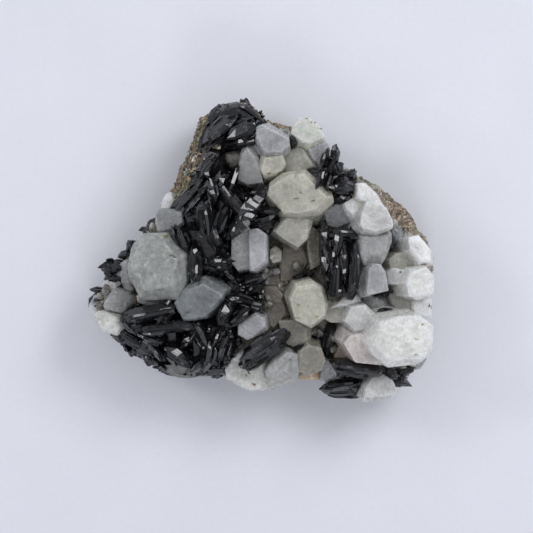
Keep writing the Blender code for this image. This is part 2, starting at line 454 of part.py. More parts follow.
def counter_clockwise(outline):
    points = [Vector((x, y, 0.0)) for x, y in outline]
    area = sum(a.x * b.y - b.x * a.y for a, b in zip(points, points[1:] + points[:1]))
    return points if area > 0.0 else points[::-1]


def convex(planes, centre, reach):
    """A closed convex body in metres: a cube cut by planes, each a point and a normal."""
    body = bmesh.new()
    bmesh.ops.create_cube(body, size=2.0 * reach)
    bmesh.ops.translate(body, verts=body.verts, vec=centre)
    for point, normal in planes:
        whole = body.verts[:] + body.edges[:] + body.faces[:]
        cut = bmesh.ops.bisect_plane(
            body, geom=whole, plane_co=point, plane_no=normal, clear_outer=True
        )
        rim = [part for part in cut["geom_cut"] if isinstance(part, bmesh.types.BMEdge)]
        if rim:
            bmesh.ops.contextual_create(body, geom=rim)
    bmesh.ops.recalc_face_normals(body, faces=body.faces)
    bmesh.ops.scale(body, verts=body.verts, vec=(MM, MM, MM))
    return body


def crystal(row, outline, top, main_face, taper, reach, foot, lean, grow=0.0):
    """A stout crystal: a main face on top, a side for each edge, a crown face for each long one."""
    points = counter_clockwise(outline)
    centre = sum(points, Vector()) / len(points)
    top += DATUM
    shoulder = top - SHOULDER_DROP
    axis = UP + (centre - CENTRE) * lean
    planes = [(Vector((centre.x, centre.y, foot - grow)), DOWN)]
    level = facing(*main_face)
    planes.append((Vector((centre.x, centre.y, top)) + level * grow, level))
    for column, (a, b) in enumerate(zip(points, points[1:] + points[:1])):
        along = (b - a).normalized()
        side = along.cross(axis).normalized() + UP * math.tan(math.radians(taper))
        side.normalize()
        planes.append((Vector((a.x, a.y, shoulder)) + side * grow, side))
        if (b - a).length < SHORTEST_CROWN:
            continue
        out = along.cross(UP)
        start = (a - centre).dot(out) * (reach + 0.16 * wobble(row, column + 7))
        slope = CROWN_SLOPE + CROWN_SPREAD * wobble(row, column)
        crown = facing(math.degrees(math.atan2(out.y, out.x)), slope)
        edge = centre + out * start
        planes.append((Vector((edge.x, edge.y, top)) + crown * grow, crown))
    return convex(planes, Vector((centre.x, centre.y, top)), 60.0)


def blade(row, place, grow=0.0):
    """A flattened crystal with a six-sided section and a blunt wedge at each end."""
    x, y, top, length, width, thickness, heading, pitch, roll = place
    centre = Vector((x, y, top + DATUM - 0.5 * thickness))
    turn = Euler((math.radians(roll), math.radians(-pitch), math.radians(heading)), "XYZ").to_matrix()
    slant = math.radians(EDGE_SLANT)
    faces = [(Vector((0, 0, side * thickness / 2)), Vector((0, 0, side))) for side in (-1, 1)]
    for side in (-1, 1):
        for rise in (-1, 1):
            normal = Vector((0, side * math.cos(slant), rise * math.sin(slant)))
            faces.append((Vector((0, side * width / 2, 0)), normal))
    for end in (-1, 1):
        for side in (-1, 1):
            angle = math.radians(END_SLANT + 30.0 * wobble(row, 3 * end + side + 9))
            rise = 0.35 + 0.4 * wobble(row, 5 * end + side + 20)
            normal = Vector((end * math.cos(angle), side * math.sin(angle), rise)).normalized()
            faces.append((Vector((end * length / 2, 0, 0)), normal))
    planes = [(centre + turn @ (point + normal * grow), turn @ normal) for point, normal in faces]
    return convex(planes, centre, 30.0)


def hull_round(bodies):
    """The tight convex skin round several bodies."""
    points = [vertex.co.copy() for body in bodies for vertex in body.verts]
    skin = bmesh.new()
    for point in points:
        skin.verts.new(point)
    made = bmesh.ops.convex_hull(skin, input=skin.verts)
    inside = set(made["geom_interior"]) | set(made["geom_unused"])
    spare = [part for part in inside if isinstance(part, bmesh.types.BMVert)]
    bmesh.ops.delete(skin, geom=spare, context="VERTS")
    for body in bodies:
        body.free()
    return skin


def slab(outline, low, high):
    """A flat-topped stretch of crust."""
    body = bmesh.new()
    corners = [body.verts.new((p.x * MM, p.y * MM, low * MM)) for p in counter_clockwise(outline)]
    floor = body.faces.new(corners)
    grown = bmesh.ops.extrude_face_region(body, geom=[floor])
    lifted = [part for part in grown["geom"] if isinstance(part, bmesh.types.BMVert)]
    bmesh.ops.translate(body, verts=lifted, vec=(0.0, 0.0, (high - low) * MM))
    bmesh.ops.recalc_face_normals(body, faces=body.faces)
    return body


def rock_body():
    """The broken host rock, ring by ring from its flat underside to its flat top."""
    body = bmesh.new()
    outline = counter_clockwise(ROCK_OUTLINE)
    rings = []
    last = len(ROCK_RINGS) - 1
    for level, (share, height) in enumerate(ROCK_RINGS):
        ring = []
        for column, point in enumerate(outline):
            inner = 0 < level < last
            push = ROCK_PUSH * wobble(column, level + 40) if inner and share < 1.0 else 0.0
            lift = ROCK_LIFT * wobble(column // 2, level + 60) if inner else 0.0
            spot = CENTRE + (point - CENTRE) * share * (1.0 + push)
            ring.append(body.verts.new((spot.x * MM, spot.y * MM, (height + lift) * MM)))
        rings.append(ring)
    count = len(outline)
    for lower, upper in zip(rings, rings[1:]):
        for k in range(count):
            after = (k + 1) % count
            body.faces.new((lower[k], lower[after], upper[after], upper[k]))
    body.faces.new(rings[0][::-1])
    body.faces.new(rings[-1])
    bmesh.ops.triangulate(body, faces=[face for face in body.faces if len(face.verts) == 4])
    bmesh.ops.recalc_face_normals(body, faces=body.faces)
    return body


def swollen(body, distance):
    """The same body with every point moved outwards, as a cutter that leaves a gap."""
    body.normal_update()
    for vertex in body.verts:
        vertex.co += vertex.normal * vertex.calc_shell_factor() * distance * MM
    return body


def helper_group(name, bodies):
    group = bpy.data.collections.new(name)
    bpy.context.scene.collection.children.link(group)
    for number, body in enumerate(bodies):
        mesh = bpy.data.meshes.new(f"{name}_{number}")
        body.to_mesh(mesh)
        body.free()
        helper = bpy.data.objects.new(f"{name}_{number}", mesh)
        helper.hide_render = True
        helper.display_type = "WIRE"
        group.objects.link(helper)
    return group


def drop_group(group):
    for helper in list(group.objects):
        bpy.data.objects.remove(helper, do_unlink=True)
    bpy.data.collections.remove(group)


def add_boolean(thing, operation, group):
    step = thing.modifiers.new(operation.title(), "BOOLEAN")
    step.operation = operation
    step.solver = "EXACT"
    step.operand_type = "COLLECTION"
    step.collection = group


def largest_part(body):
    """Deletes every loose part of a body but the largest."""
    body.faces.ensure_lookup_table()
    unseen = set(body.faces)
    parts = []
    while unseen:
        part = set()
        queue = [unseen.pop()]
        while queue:
            face = queue.pop()
            part.add(face)
            for edge in face.edges:
                near = [other for other in edge.link_faces if other in unseen]
                unseen.difference_update(near)
                queue.extend(near)
        parts.append(part)
    parts.sort(key=lambda part: sum(face.calc_area() for face in part))
    for part in parts[:-1]:
        bmesh.ops.delete(body, geom=list(part), context="FACES")


def grown_together(name, slot, bodies, cuts):
    """One solid: all bodies joined, less the cutters, one list of them after another."""
    thing = add_object(name, bodies[0], slot)
    groups = []
    if bodies[1:]:
        groups.append(helper_group(name + "_joined", bodies[1:]))
        add_boolean(thing, "UNION", groups[0])
    for number, cutters in enumerate(cuts):
        groups.append(helper_group(f"{name}_cut_{number}", cutters))
        add_boolean(thing, "DIFFERENCE", groups[-1])
    graph = bpy.context.evaluated_depsgraph_get()
    solid = bmesh.new()
    solid.from_mesh(thing.evaluated_get(graph).to_mesh())
    thing.modifiers.clear()
    largest_part(solid)
    flat = math.radians(0.15)
    bmesh.ops.dissolve_limit(solid, angle_limit=flat, verts=solid.verts, edges=solid.edges)
    bmesh.ops.triangulate(solid, faces=solid.faces)
    solid.to_mesh(thing.data)
    solid.free()
    for group in groups:
        drop_group(group)
    return thing


def masses(rows, foot, grow=0.0):
    return [
        crystal(row + 300, outline, top, slope, MASS_TAPER, 0.7, foot - FOOT_STEP * row, 0.0, grow)
        for row, (top, slope, outline) in enumerate(rows)
    ]


def blades(rows, seed, grow=0.0):
    return [blade(row + seed, place, grow) for row, place in enumerate(rows)]


# Epidote pieces: a node name, its finish, its masses, its blades and its first row number
EPIDOTE_PIECES = [
    ("epidote_main_mass", "epidote", MAIN_MASSES, MAIN_BLADES, 0),
    ("epidote_grey_block", "grey_crystal", (), GREY_BLOCK, 90),
    ("epidote_right_spray", "epidote", (), SPRAY_BLADES, 100),
    ("epidote_spike", "epidote", (), SPIKE_BLADES, 120),
    ("epidote_upper_right_cluster", "epidote", (), UPPER_RIGHT_BLADES, 130),
    ("epidote_lens", "epidote", (), LENS_BLADES, 150),
    ("epidote_lower_right_blade", "epidote", (), LOWER_BLADES, 160),
    ("epidote_lower_edge_cluster", "epidote", (), EDGE_BLADES, 170),
] + [
    (name, "epidote", (), rows, 200 + 10 * number)
    for number, (name, rows) in enumerate(SINGLE_CRYSTALS.items())
]


# Clusters so dense that the quartz is cut to the skin round all their blades
DENSE_CLUSTERS = ("epidote_right_spray", "epidote_upper_right_cluster")


def epidote_bodies(piece, grow=0.0):
    name, slot, mass_rows, blade_rows, seed = piece
    return masses(mass_rows, EPIDOTE_FOOT, grow) + blades(blade_rows, seed, grow)


def build_epidote():
    for number, piece in enumerate(EPIDOTE_PIECES):
        cuts = [[swollen(rock_body(), ROCK_GAP)]]
        earlier = [body for other in EPIDOTE_PIECES[:number] for body in epidote_bodies(other, GAP)]
        if earlier:
            cuts.append(earlier)
        grown_together(piece[0], piece[1], epidote_bodies(piece), cuts)


def quartz_bodies(rows, seed, crust, grow=0.0):
    bodies = [slab(crust, QUARTZ_FOOT, CRUST_TOP)]
    for row, (top, main_face, taper, reach, outline) in enumerate(rows.values()):
        foot = QUARTZ_FOOT - FOOT_STEP * (row + 1)
        shape = (outline, top, main_face, taper, reach, foot, QUARTZ_LEAN, grow)
        bodies.append(crystal(row + seed, *shape))
    return bodies


def quartz_cuts():
    """What the quartz leaves room for: the rock, the epidote band, the clusters, the rest."""
    band = epidote_bodies(EPIDOTE_PIECES[0], GAP)
    clusters = []
    rest = []
    for piece in EPIDOTE_PIECES[1:]:
        bodies = epidote_bodies(piece, GAP)
        if piece[0] in DENSE_CLUSTERS:
            clusters.append(hull_round(bodies))
        else:
            rest += bodies
    return [[swollen(rock_body(), ROCK_GAP)], band, clusters, rest]


def build_quartz():
    main = quartz_bodies(QUARTZ_MAIN, 400, CRUST_MAIN)
    grown_together("quartz_main_group", "quartz", main, quartz_cuts())
    left = quartz_bodies(QUARTZ_LEFT, 500, CRUST_LEFT)
    grown_together("quartz_left_group", "quartz", left, quartz_cuts())


def build():
    clear_scene()
    add_object("host_rock", rock_body(), "host_rock")
    build_epidote()
    build_quartz()


if __name__ == "__main__":
    build()
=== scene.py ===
"""The looks of an epidote cluster: black epidote and cloudy quartz crystals on host rock.

Run as a script in Blender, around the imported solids. Tables are in millimetres and
degrees, in the frame of the part; meshes are in metres.
"""

import json
import math
import random

import bmesh
import bpy
from bpy.props import FloatProperty, FloatVectorProperty, IntProperty
from mathutils import Euler, Matrix, Vector, noise
from mathutils.bvhtree import BVHTree

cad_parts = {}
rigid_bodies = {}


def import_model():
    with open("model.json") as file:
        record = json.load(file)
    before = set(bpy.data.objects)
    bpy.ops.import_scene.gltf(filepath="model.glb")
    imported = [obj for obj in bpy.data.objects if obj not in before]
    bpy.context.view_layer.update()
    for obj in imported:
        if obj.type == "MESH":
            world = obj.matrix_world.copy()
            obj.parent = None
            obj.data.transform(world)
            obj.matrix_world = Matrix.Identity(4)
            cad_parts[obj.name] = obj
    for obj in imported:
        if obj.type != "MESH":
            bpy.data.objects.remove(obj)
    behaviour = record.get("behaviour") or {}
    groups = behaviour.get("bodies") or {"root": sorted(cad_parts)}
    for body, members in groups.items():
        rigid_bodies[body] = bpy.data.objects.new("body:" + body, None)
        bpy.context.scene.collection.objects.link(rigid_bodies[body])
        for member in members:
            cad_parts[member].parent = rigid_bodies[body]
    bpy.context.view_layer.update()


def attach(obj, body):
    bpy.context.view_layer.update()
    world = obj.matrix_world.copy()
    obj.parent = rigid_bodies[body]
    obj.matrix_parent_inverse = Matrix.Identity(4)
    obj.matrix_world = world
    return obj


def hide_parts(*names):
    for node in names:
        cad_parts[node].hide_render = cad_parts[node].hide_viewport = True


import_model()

bl_info = {
    "name": "Epidote cluster",
    "version": (1, 0, 0),
    "blender": (4, 5, 0),
    "location": "3D View > Sidebar > Cluster",
    "description": "Builds a mineral specimen of epidote and quartz crystals on host rock",
    "category": "Add Mesh",
}

MM = 0.001
UP = Vector((0.0, 0.0, 1.0))
DOWN = -UP


# Host rock: top level, and how rough its broken sides are
ROCK_TOP = 13.0
ROCK_LIFT = 2.6
ROCK_PUSH = 0.05
# How far each ring of the rock reaches, as a share of the outline, and its height
ROCK_RINGS = (
    (0.79, 0.0),
    (0.90, 1.8),
    (0.95, 5.4),
    (1.0, 8.6),
    (0.955, 11.4),
    (0.87, ROCK_TOP),
)
CENTRE = Vector((2.0, -5.0, 0.0))

# Level that the tops of the crystals in the tables are measured from
DATUM = 2.5

# Quartz: the level that the crystals start from, the crust that joins them,
# how much they lean outwards for each millimetre from the centre, and their crowns
QUARTZ_FOOT = 9.5
CRUST_TOP = 17.0
QUARTZ_LEAN = 0.010
SHOULDER_DROP = 1.5
# Each body starts this much lower than the last, so that no two undersides coincide
FOOT_STEP = 0.013
CROWN_SLOPE = 50.0
CROWN_SPREAD = 16.0
SHORTEST_CROWN = 3.6

# Epidote: the level and side taper of the masses under the blades, and the
# slant of a blade's edges and ends, in degrees
EPIDOTE_FOOT = 9.5
MASS_TAPER = 10.0
EDGE_SLANT = 32.0
END_SLANT = 38.0

# Outline of the host rock at its widest, clockwise from the upper left
ROCK_OUTLINE = (
    (-13.6, 35.4), (-10.5, 36.5), (-6.5, 36.6), (-3.2, 35.2), (0.2, 34.5), (3.4, 32.8),
    (6.0, 32.6), (9.0, 32.0), (12.5, 31.0), (15.2, 27.6), (17.4, 24.4), (20.4, 22.5),
    (24.2, 20.0), (28.2, 17.7), (31.7, 15.0), (35.8, 12.3), (38.2, 9.3), (39.8, 5.8),
    (42.4, 2.9), (43.9, -1.6), (43.3, -6.2), (42.2, -11.0), (41.8, -17.0), (41.3, -23.5),
    (40.2, -27.3), (37.6, -31.5), (35.4, -34.0), (31.5, -35.4), (27.0, -36.4), (22.0, -35.4),
    (17.4, -33.4), (13.5, -31.5), (8.5, -31.7), (3.0, -33.4), (-2.0, -34.0), (-6.5, -32.4),
    (-12.0, -31.2), (-19.0, -31.6), (-24.4, -30.6), (-31.2, -27.3), (-37.6, -22.4),
    (-40.8, -18.7), (-42.8, -15.0), (-43.5, -11.5), (-40.6, -8.0), (-38.8, -4.5),
    (-35.2, -0.8), (-32.7, 2.6), (-29.2, 5.9), (-26.2, 9.4), (-24.3, 13.4), (-22.3, 17.8),
    (-20.8, 21.6), (-17.8, 24.7), (-16.2, 28.8), (-15.6, 32.0),
)

# Outlines of the two stretches of crust that the quartz crystals stand on
CRUST_MAIN = (
    (-6.0, 24.0), (-1.5, 29.5), (3.5, 30.5), (8.5, 30.5), (13.0, 29.5), (16.0, 24.0),
    (21.5, 18.0), (26.5, 14.0), (31.0, 9.0), (35.5, 6.0), (40.5, 2.0), (42.0, -3.0),
    (40.8, -10.0), (40.5, -22.0), (38.5, -28.0), (33.0, -34.0), (26.0, -35.0), (17.0, -31.5),
    (8.0, -30.6), (-1.0, -32.5), (-7.5, -30.0), (-6.0, -20.0), (-1.0, -10.0), (-7.0, 0.0),
    (-4.0, 10.0), (-6.0, 18.0),
)
CRUST_LEFT = (
    (-24.5, 12.5), (-20.0, 9.0), (-19.0, -3.0), (-10.0, -8.0), (-11.0, -14.0), (-20.0, -17.5),
    (-33.5, -17.0), (-38.0, -20.0), (-41.0, -16.0), (-41.5, -12.0), (-36.0, -5.0), (-31.5, 2.0),
    (-26.0, 8.0),
)

# Quartz crystals: top level, (direction and slope of the main face in degrees),
# side taper in degrees, reach of the main face, outline seen from above
QUARTZ_MAIN = {
    "big_cream": (27.0, (200, 9), 4, 0.80, (
        (1.3, 14.0), (2.1, 17.4), (5.2, 19.7), (10.8, 20.4), (17.4, 14.6), (17.8, 12.3),
        (14.4, 9.2), (9.5, 8.7), (5.3, 9.5))),
    "hexagon_below": (22.5, (262, 16), 3, 0.86, (
        (5.0, 9.4), (2.6, 5.2), (5.6, 2.9), (8.9, 1.0), (11.5, 3.3), (13.1, 9.0))),
    "twin_left": (22.5, (205, 12), 3, 0.80, (
        (-7.6, 3.0), (-6.6, 4.9), (-3.7, 6.7), (-1.6, 4.6), (-2.2, -4.2), (-6.0, -4.7), (-7.6, -2.6))),
    "twin_right": (24.6, (15, 6), 2, 0.74, (
        (-3.4, 3.2), (-3.2, 5.4), (-1.0, 5.9), (1.3, 4.3), (1.5, -2.6), (-1.4, -5.0), (-3.1, -4.7))),
    "small_beside_twin": (19.5, (60, 28), 4, 0.75, (
        (2.0, 0.6), (3.3, 1.6), (4.9, 0.5), (5.0, -2.4), (2.6, -3.1), (1.7, -1.6))),
    "grey_left_of_top": (25.0, (255, 14), 3, 0.82, (
        (-4.9, 26.2), (-2.6, 26.4), (-0.6, 23.0), (0.3, 17.0), (-3.6, 16.6), (-6.0, 17.8),
        (-5.8, 22.0))),
    "brown_grey": (20.5, (230, 20), 3, 0.78, (
        (-9.6, 24.7), (-5.0, 25.3), (-5.0, 22.3), (-6.5, 20.9), (-9.3, 20.9))),
    "top_grey": (27.6, (285, 8), 3, 0.78, (
        (-1.5, 30.2), (1.6, 31.8), (6.6, 28.6), (7.0, 26.0), (4.9, 24.3), (0.6, 24.1),
        (-1.7, 27.2))),
    "top_grey_shoulder": (24.8, (230, 30), 3, 0.85, (
        (-3.2, 26.6), (-1.4, 28.4), (0.6, 26.4), (0.1, 23.6), (-1.3, 24.0))),
    "yellow_prism": (25.2, (350, 10), 2, 0.72, (
        (-0.2, 24.4), (4.9, 24.6), (6.1, 21.6), (4.4, 19.1), (0.7, 18.1), (-1.0, 20.6))),
    "cream_behind": (22.6, (200, 14), 3, 0.85, (
        (5.4, 24.6), (7.0, 26.3), (10.8, 26.2), (13.3, 22.5), (13.3, 20.3), (9.0, 19.4), (5.8, 19.4))),
    "green_white": (25.8, (110, 14), 3, 0.82, (
        (7.0, 29.0), (7.6, 31.3), (9.1, 33.0), (12.2, 33.0), (14.2, 30.8), (15.6, 27.6),
        (11.7, 25.8), (9.2, 27.0))),
    "beside_green_white": (23.8, (300, 18), 3, 0.8, (
        (11.6, 26.2), (15.5, 27.7), (16.9, 25.5), (15.4, 23.2), (14.2, 21.6), (12.6, 22.5), (11.0, 25.0))),
    "grey_in_epidote": (22.6, (240, 16), 3, 0.8, (
        (15.2, 9.8), (17.3, 11.8), (20.3, 11.4), (22.2, 8.6), (21.6, 7.0), (18.4, 5.9), (16.2, 6.4))),
    "bright_chips": (25.6, (75, 30), 4, 0.8, (
        (19.9, 11.9), (22.6, 13.5), (25.2, 13.0), (25.0, 10.5), (22.4, 7.8), (20.6, 10.2))),
    "right_upper": (26.2, (40, 18), 3, 0.82, (
        (22.8, 13.2), (22.9, 16.9), (25.4, 17.0), (28.4, 14.3), (30.0, 11.4), (26.6, 11.6), (24.0, 12.2))),
    "right_large": (30.0, (20, 8), 3, 0.80, (
        (23.5, 6.3), (24.1, 9.4), (25.3, 12.3), (28.0, 12.7), (30.6, 10.6), (32.0, 7.7),
        (32.3, 5.8), (28.6, 4.3), (25.0, 4.8))),
    "right_grey": (25.4, (275, 22), 3, 0.86, (
        (23.0, 2.8), (23.8, 5.3), (31.6, 5.4), (32.1, 2.4), (30.6, -1.6), (29.3, -4.0),
        (25.4, -3.4), (24.0, -0.8))),
    "light_prism": (27.2, (330, 6), 3, 0.88, (
        (25.9, -4.0), (27.4, -2.8), (28.9, -3.0), (30.4, -4.9), (31.2, -9.6), (25.4, -11.1))),
    "light_prism_side": (24.0, (190, 24), 3, 0.88, (
        (23.6, -7.0), (25.0, -3.6), (27.0, -3.6), (27.0, -11.0), (24.4, -11.4), (23.4, -9.4))),
    "right_edge_upper": (26.4, (50, 16), 1, 0.78, (
        (35.6, 3.6), (38.6, 4.2), (41.9, 0.2), (42.7, -3.4), (38.8, -3.6), (35.8, 0.2))),
    "beige_right": (22.4, (200, 12), 3, 0.82, (
        (31.2, -1.8), (33.0, -0.2), (36.4, 0.2), (39.2, -2.8), (37.4, -4.0), (35.0, -4.6), (31.6, -4.0))),
    "right_middle": (23.4, (185, 15), 3, 0.8, (
        (30.7, -5.0), (32.2, -3.8), (35.4, -4.4), (35.7, -6.2), (35.2, -8.4), (31.2, -8.0))),
    "right_edge_middle": (27.2, (20, 12), 1, 0.80, (
        (34.9, -7.6), (36.4, -4.0), (40.2, -3.2), (42.6, -6.0), (42.3, -10.8), (38.4, -12.0),
        (35.4, -11.0))),
    "beige_triangle": (20.6, (160, 16), 3, 0.86, (
        (31.4, -10.2), (35.2, -10.8), (38.2, -12.2), (37.6, -15.6), (34.2, -15.6), (32.2, -12.8))),
    "right_edge_lower": (22.8, (10, 14), 1, 0.76, (
        (37.2, -12.0), (42.2, -11.4), (42.1, -16.4), (38.3, -16.4), (37.0, -14.2))),
    "big_white": (31.0, (40, 7), 1.5, 0.84, (
        (28.2, -17.0), (33.2, -15.7), (38.6, -15.5), (42.0, -18.0), (41.8, -24.6), (38.4, -27.8),
        (31.2, -28.6), (26.8, -24.8), (25.6, -22.2))),
    "pink_white": (26.4, (210, 10), 3, 0.84, (
        (20.0, -22.6), (21.6, -20.3), (27.2, -19.6), (30.2, -24.0), (29.8, -28.0), (22.9, -27.3))),
    "round_light": (25.2, (170, 10), 3, 0.80, (
        (20.2, -17.2), (21.8, -13.4), (25.4, -12.8), (28.2, -15.4), (27.0, -20.2), (22.7, -20.1))),
    "round_flat": (23.0, (215, 7), 3, 0.84, (
        (6.5, -11.4), (8.2, -7.6), (12.0, -6.6), (15.4, -8.6), (16.6, -12.4), (15.6, -16.6),
        (12.4, -19.0), (8.2, -17.0))),
    "triangle_light": (22.4, (80, 18), 3, 0.86, (
        (17.0, -13.9), (20.3, -10.9), (24.0, -10.4), (24.6, -12.2), (21.0, -13.6))),
    "under_triangle": (20.2, (230, 14), 3, 0.84, (
        (14.6, -12.0), (17.6, -11.0), (21.4, -13.2), (20.6, -17.6), (17.0, -17.6), (14.4, -16.0))),
    "shards_upper": (19.6, (300, 18), 3, 0.8, (
        (24.6, -11.0), (27.6, -10.6), (29.4, -13.9), (26.0, -14.4), (24.6, -13.0))),
    "shards_right": (18.4, (40, 22), 3, 0.8, (
        (27.4, -11.0), (31.4, -10.8), (32.6, -13.6), (30.4, -15.0), (28.2, -13.6))),
    "pocket_edge": (18.8, (200, 10), 3, 0.84, (
        (4.0, -17.0), (9.0, -16.6), (12.4, -18.8), (12.2, -22.6), (8.4, -24.0), (5.2, -22.4))),
    "beige_grey": (21.4, (250, 10), 3, 0.82, (
        (8.8, -24.6), (11.4, -22.5), (14.6, -23.4), (15.8, -26.6), (14.9, -29.2), (11.8, -30.8),
        (9.0, -29.8))),
    "pocket_pink": (17.4, (100, 14), 3, 0.8, (
        (17.8, -25.0), (19.8, -22.5), (23.0, -26.8), (18.0, -27.0))),
    "grey_bottom": (17.6, (270, 16), 2, 0.8, (
        (14.6, -28.0), (15.8, -26.4), (18.0, -27.0), (18.8, -30.6), (17.2, -32.3), (14.4, -32.1))),
    "orange_patch": (14.6, (250, 10), 1, 0.8, (
        (9.0, -29.8), (14.4, -29.0), (15.0, -31.9), (9.2, -32.0))),
    "bottom_grey": (21.2, (290, 10), 1.5, 0.80, (
        (2.4, -26.8), (5.9, -24.2), (9.2, -25.2), (9.4, -30.4), (7.8, -32.6), (2.2, -34.5), (0.4, -29.6))),
    "bottom_white": (18.4, (240, 12), 1.5, 0.80, (
        (-9.3, -29.0), (-7.6, -26.4), (-5.4, -25.0), (1.2, -27.0), (2.4, -34.4), (-3.2, -34.8),
        (-9.0, -31.6))),
    "striated_small": (21.6, (215, 18), 3, 0.82, (
        (-6.0, -18.2), (-1.6, -14.9), (0.9, -16.0), (1.6, -19.4), (-3.6, -22.0), (-6.0, -20.6))),
    "brown_well_upper": (15.6, (150, 12), 3, 0.82, (
        (-0.8, -8.4), (3.4, -8.2), (5.4, -10.6), (4.4, -13.4), (-1.2, -12.8))),
    "brown_well_lower": (16.4, (110, 16), 3, 0.82, (
        (0.4, -12.8), (5.0, -11.8), (7.0, -15.6), (4.6, -19.0), (1.4, -19.0), (0.2, -15.6))),
    "valley_grey": (16.2, (300, 10), 3, 0.84, (
        (4.4, 3.0), (10.6, 2.2), (11.8, -2.0), (8.8, -7.0), (4.6, -7.4), (4.0, -1.6))),
    "valley_strip": (17.8, (10, 14), 3, 0.84, (
        (11.4, 7.8), (14.2, 5.0), (14.9, -3.0), (12.0, -4.6), (11.0, 1.6))),
    "valley_low": (14.8, (60, 8), 3, 0.84, (
        (0.6, -4.2), (5.2, -3.4), (6.0, -8.6), (-0.4, -8.8))),
    "lower_right": (20.4, (60, 12), 1, 0.76, (
        (25.3, -33.4), (27.4, -30.8), (30.2, -30.4), (32.6, -32.0), (33.6, -34.6), (31.6, -36.5),
        (26.6, -37.5), (24.6, -36.9))),
    "right_shards": (20.6, (60, 26), 3, 0.82, (
        (31.6, 4.6), (32.6, 6.8), (34.6, 6.4), (35.6, 3.4), (34.6, 2.0), (32.8, 2.4))),
    "edge_chip": (13.6, (330, 22), 1, 0.8, (
        (38.0, -27.6), (40.9, -25.2), (41.1, -26.8), (39.6, -29.2), (37.9, -29.4))),
}
QUARTZ_LEFT = {
    "big_left": (27.0, (150, 8), 3, 0.74, (
        (-32.6, 1.0), (-30.6, 4.4), (-24.0, 4.8), (-18.8, -0.4), (-19.2, -7.2), (-21.4, -11.6),
        (-30.2, -12.0), (-33.5, -5.6))),
    "big_left_foot": (19.4, (265, 30), 3, 0.86, (
        (-31.0, -10.6), (-21.4, -10.8), (-20.6, -12.6), (-26.0, -13.8), (-30.8, -12.6))),
    "upper_left": (21.8, (140, 12), 2, 0.78, (
        (-26.3, 9.8), (-25.0, 11.0), (-19.6, 10.4), (-19.2, 7.2), (-21.6, 4.8), (-25.4, 4.4), (-26.4, 7.0))),
    "bright_chip": (16.4, (130, 24), 1, 0.8, (
        (-25.0, 12.0), (-24.4, 14.2), (-22.7, 15.2), (-21.6, 12.4), (-22.8, 10.0), (-24.9, 10.2))),
    "dark_grey_large": (24.4, (235, 12), 3, 0.80, (
        (-20.0, -8.8), (-14.4, -5.9), (-8.6, -9.2), (-9.8, -12.4), (-14.0, -16.6), (-19.4, -17.4),
        (-21.8, -12.8))),
    "left_rough": (17.6, (300, 12), 2, 0.80, (
        (-39.2, -11.6), (-36.6, -8.8), (-32.8, -9.6), (-31.6, -12.6), (-34.8, -15.4), (-39.2, -14.6))),
    "left_upper_rough": (17.0, (210, 16), 2, 0.80, (
        (-35.4, -3.0), (-33.4, -1.6), (-31.6, -4.6), (-31.8, -9.8), (-34.4, -10.0), (-35.4, -6.4))),
    "left_bottom": (19.2, (140, 10), 1, 0.80, (
        (-42.5, -15.2), (-40.2, -14.6), (-36.0, -15.9), (-34.2, -18.4), (-36.0, -20.9), (-39.6, -19.9))),
    "left_tip": (14.4, (200, 16), 1, 0.80, (
        (-43.3, -13.2), (-41.6, -10.6), (-38.6, -11.0), (-39.2, -15.4), (-42.6, -15.4))),
    "left_edge_pale": (15.8, (170, 18), 1, 0.80, (
        (-40.0, -7.6), (-37.6, -6.4), (-35.4, -8.2), (-36.2, -10.6), (-39.6, -9.8))),
}

# Masses under the epidote blades: top level, (direction and slope of the top),
# outline seen from above
MAIN_MASSES = (
    (23.0, (90, 18), ((-13.2, 31.8), (-9.4, 34.6), (-5.0, 34.8), (-1.8, 32.6), (-0.6, 30.4),
                      (-2.2, 27.2), (-5.2, 26.0), (-11.0, 26.0), (-14.0, 28.0))),
    (22.0, (170, 14), ((-14.6, 28.0), (-9.4, 27.4), (-7.6, 14.0), (-14.0, 13.0), (-18.4, 16.0),
                       (-17.4, 21.0))),
    (22.5, (190, 10), ((-21.6, 10.8), (-18.6, 15.0), (-6.0, 16.2), (0.8, 15.2), (3.8, 10.0),
                       (0.0, 6.8), (-20.0, 6.4))),
    (21.5, (230, 10), ((-20.4, 7.6), (-3.8, 7.6), (-8.2, 2.0), (-14.4, -5.6), (-18.2, -5.8),
                       (-19.8, 0.0))),
    (20.5, (260, 8), ((-14.0, 2.6), (-8.2, 2.4), (-8.0, -5.4), (-13.8, -5.8))),
    (17.5, (300, 8), ((-9.0, -3.4), (-0.2, -4.8), (0.2, -12.0), (-3.4, -16.0), (-8.4, -18.4),
                      (-10.2, -12.0))),
    (19.5, (280, 10), ((-14.2, -16.8), (-7.6, -16.0), (-5.8, -19.6), (-7.6, -26.0), (-9.8, -29.4),
                       (-18.6, -29.6), (-20.6, -19.0))),
    (18.0, (220, 12), ((-33.6, -16.4), (-31.0, -14.4), (-21.8, -14.0), (-18.6, -18.0), (-19.0, -29.2),
                       (-24.2, -28.4), (-31.0, -25.0), (-35.4, -21.0))),
)

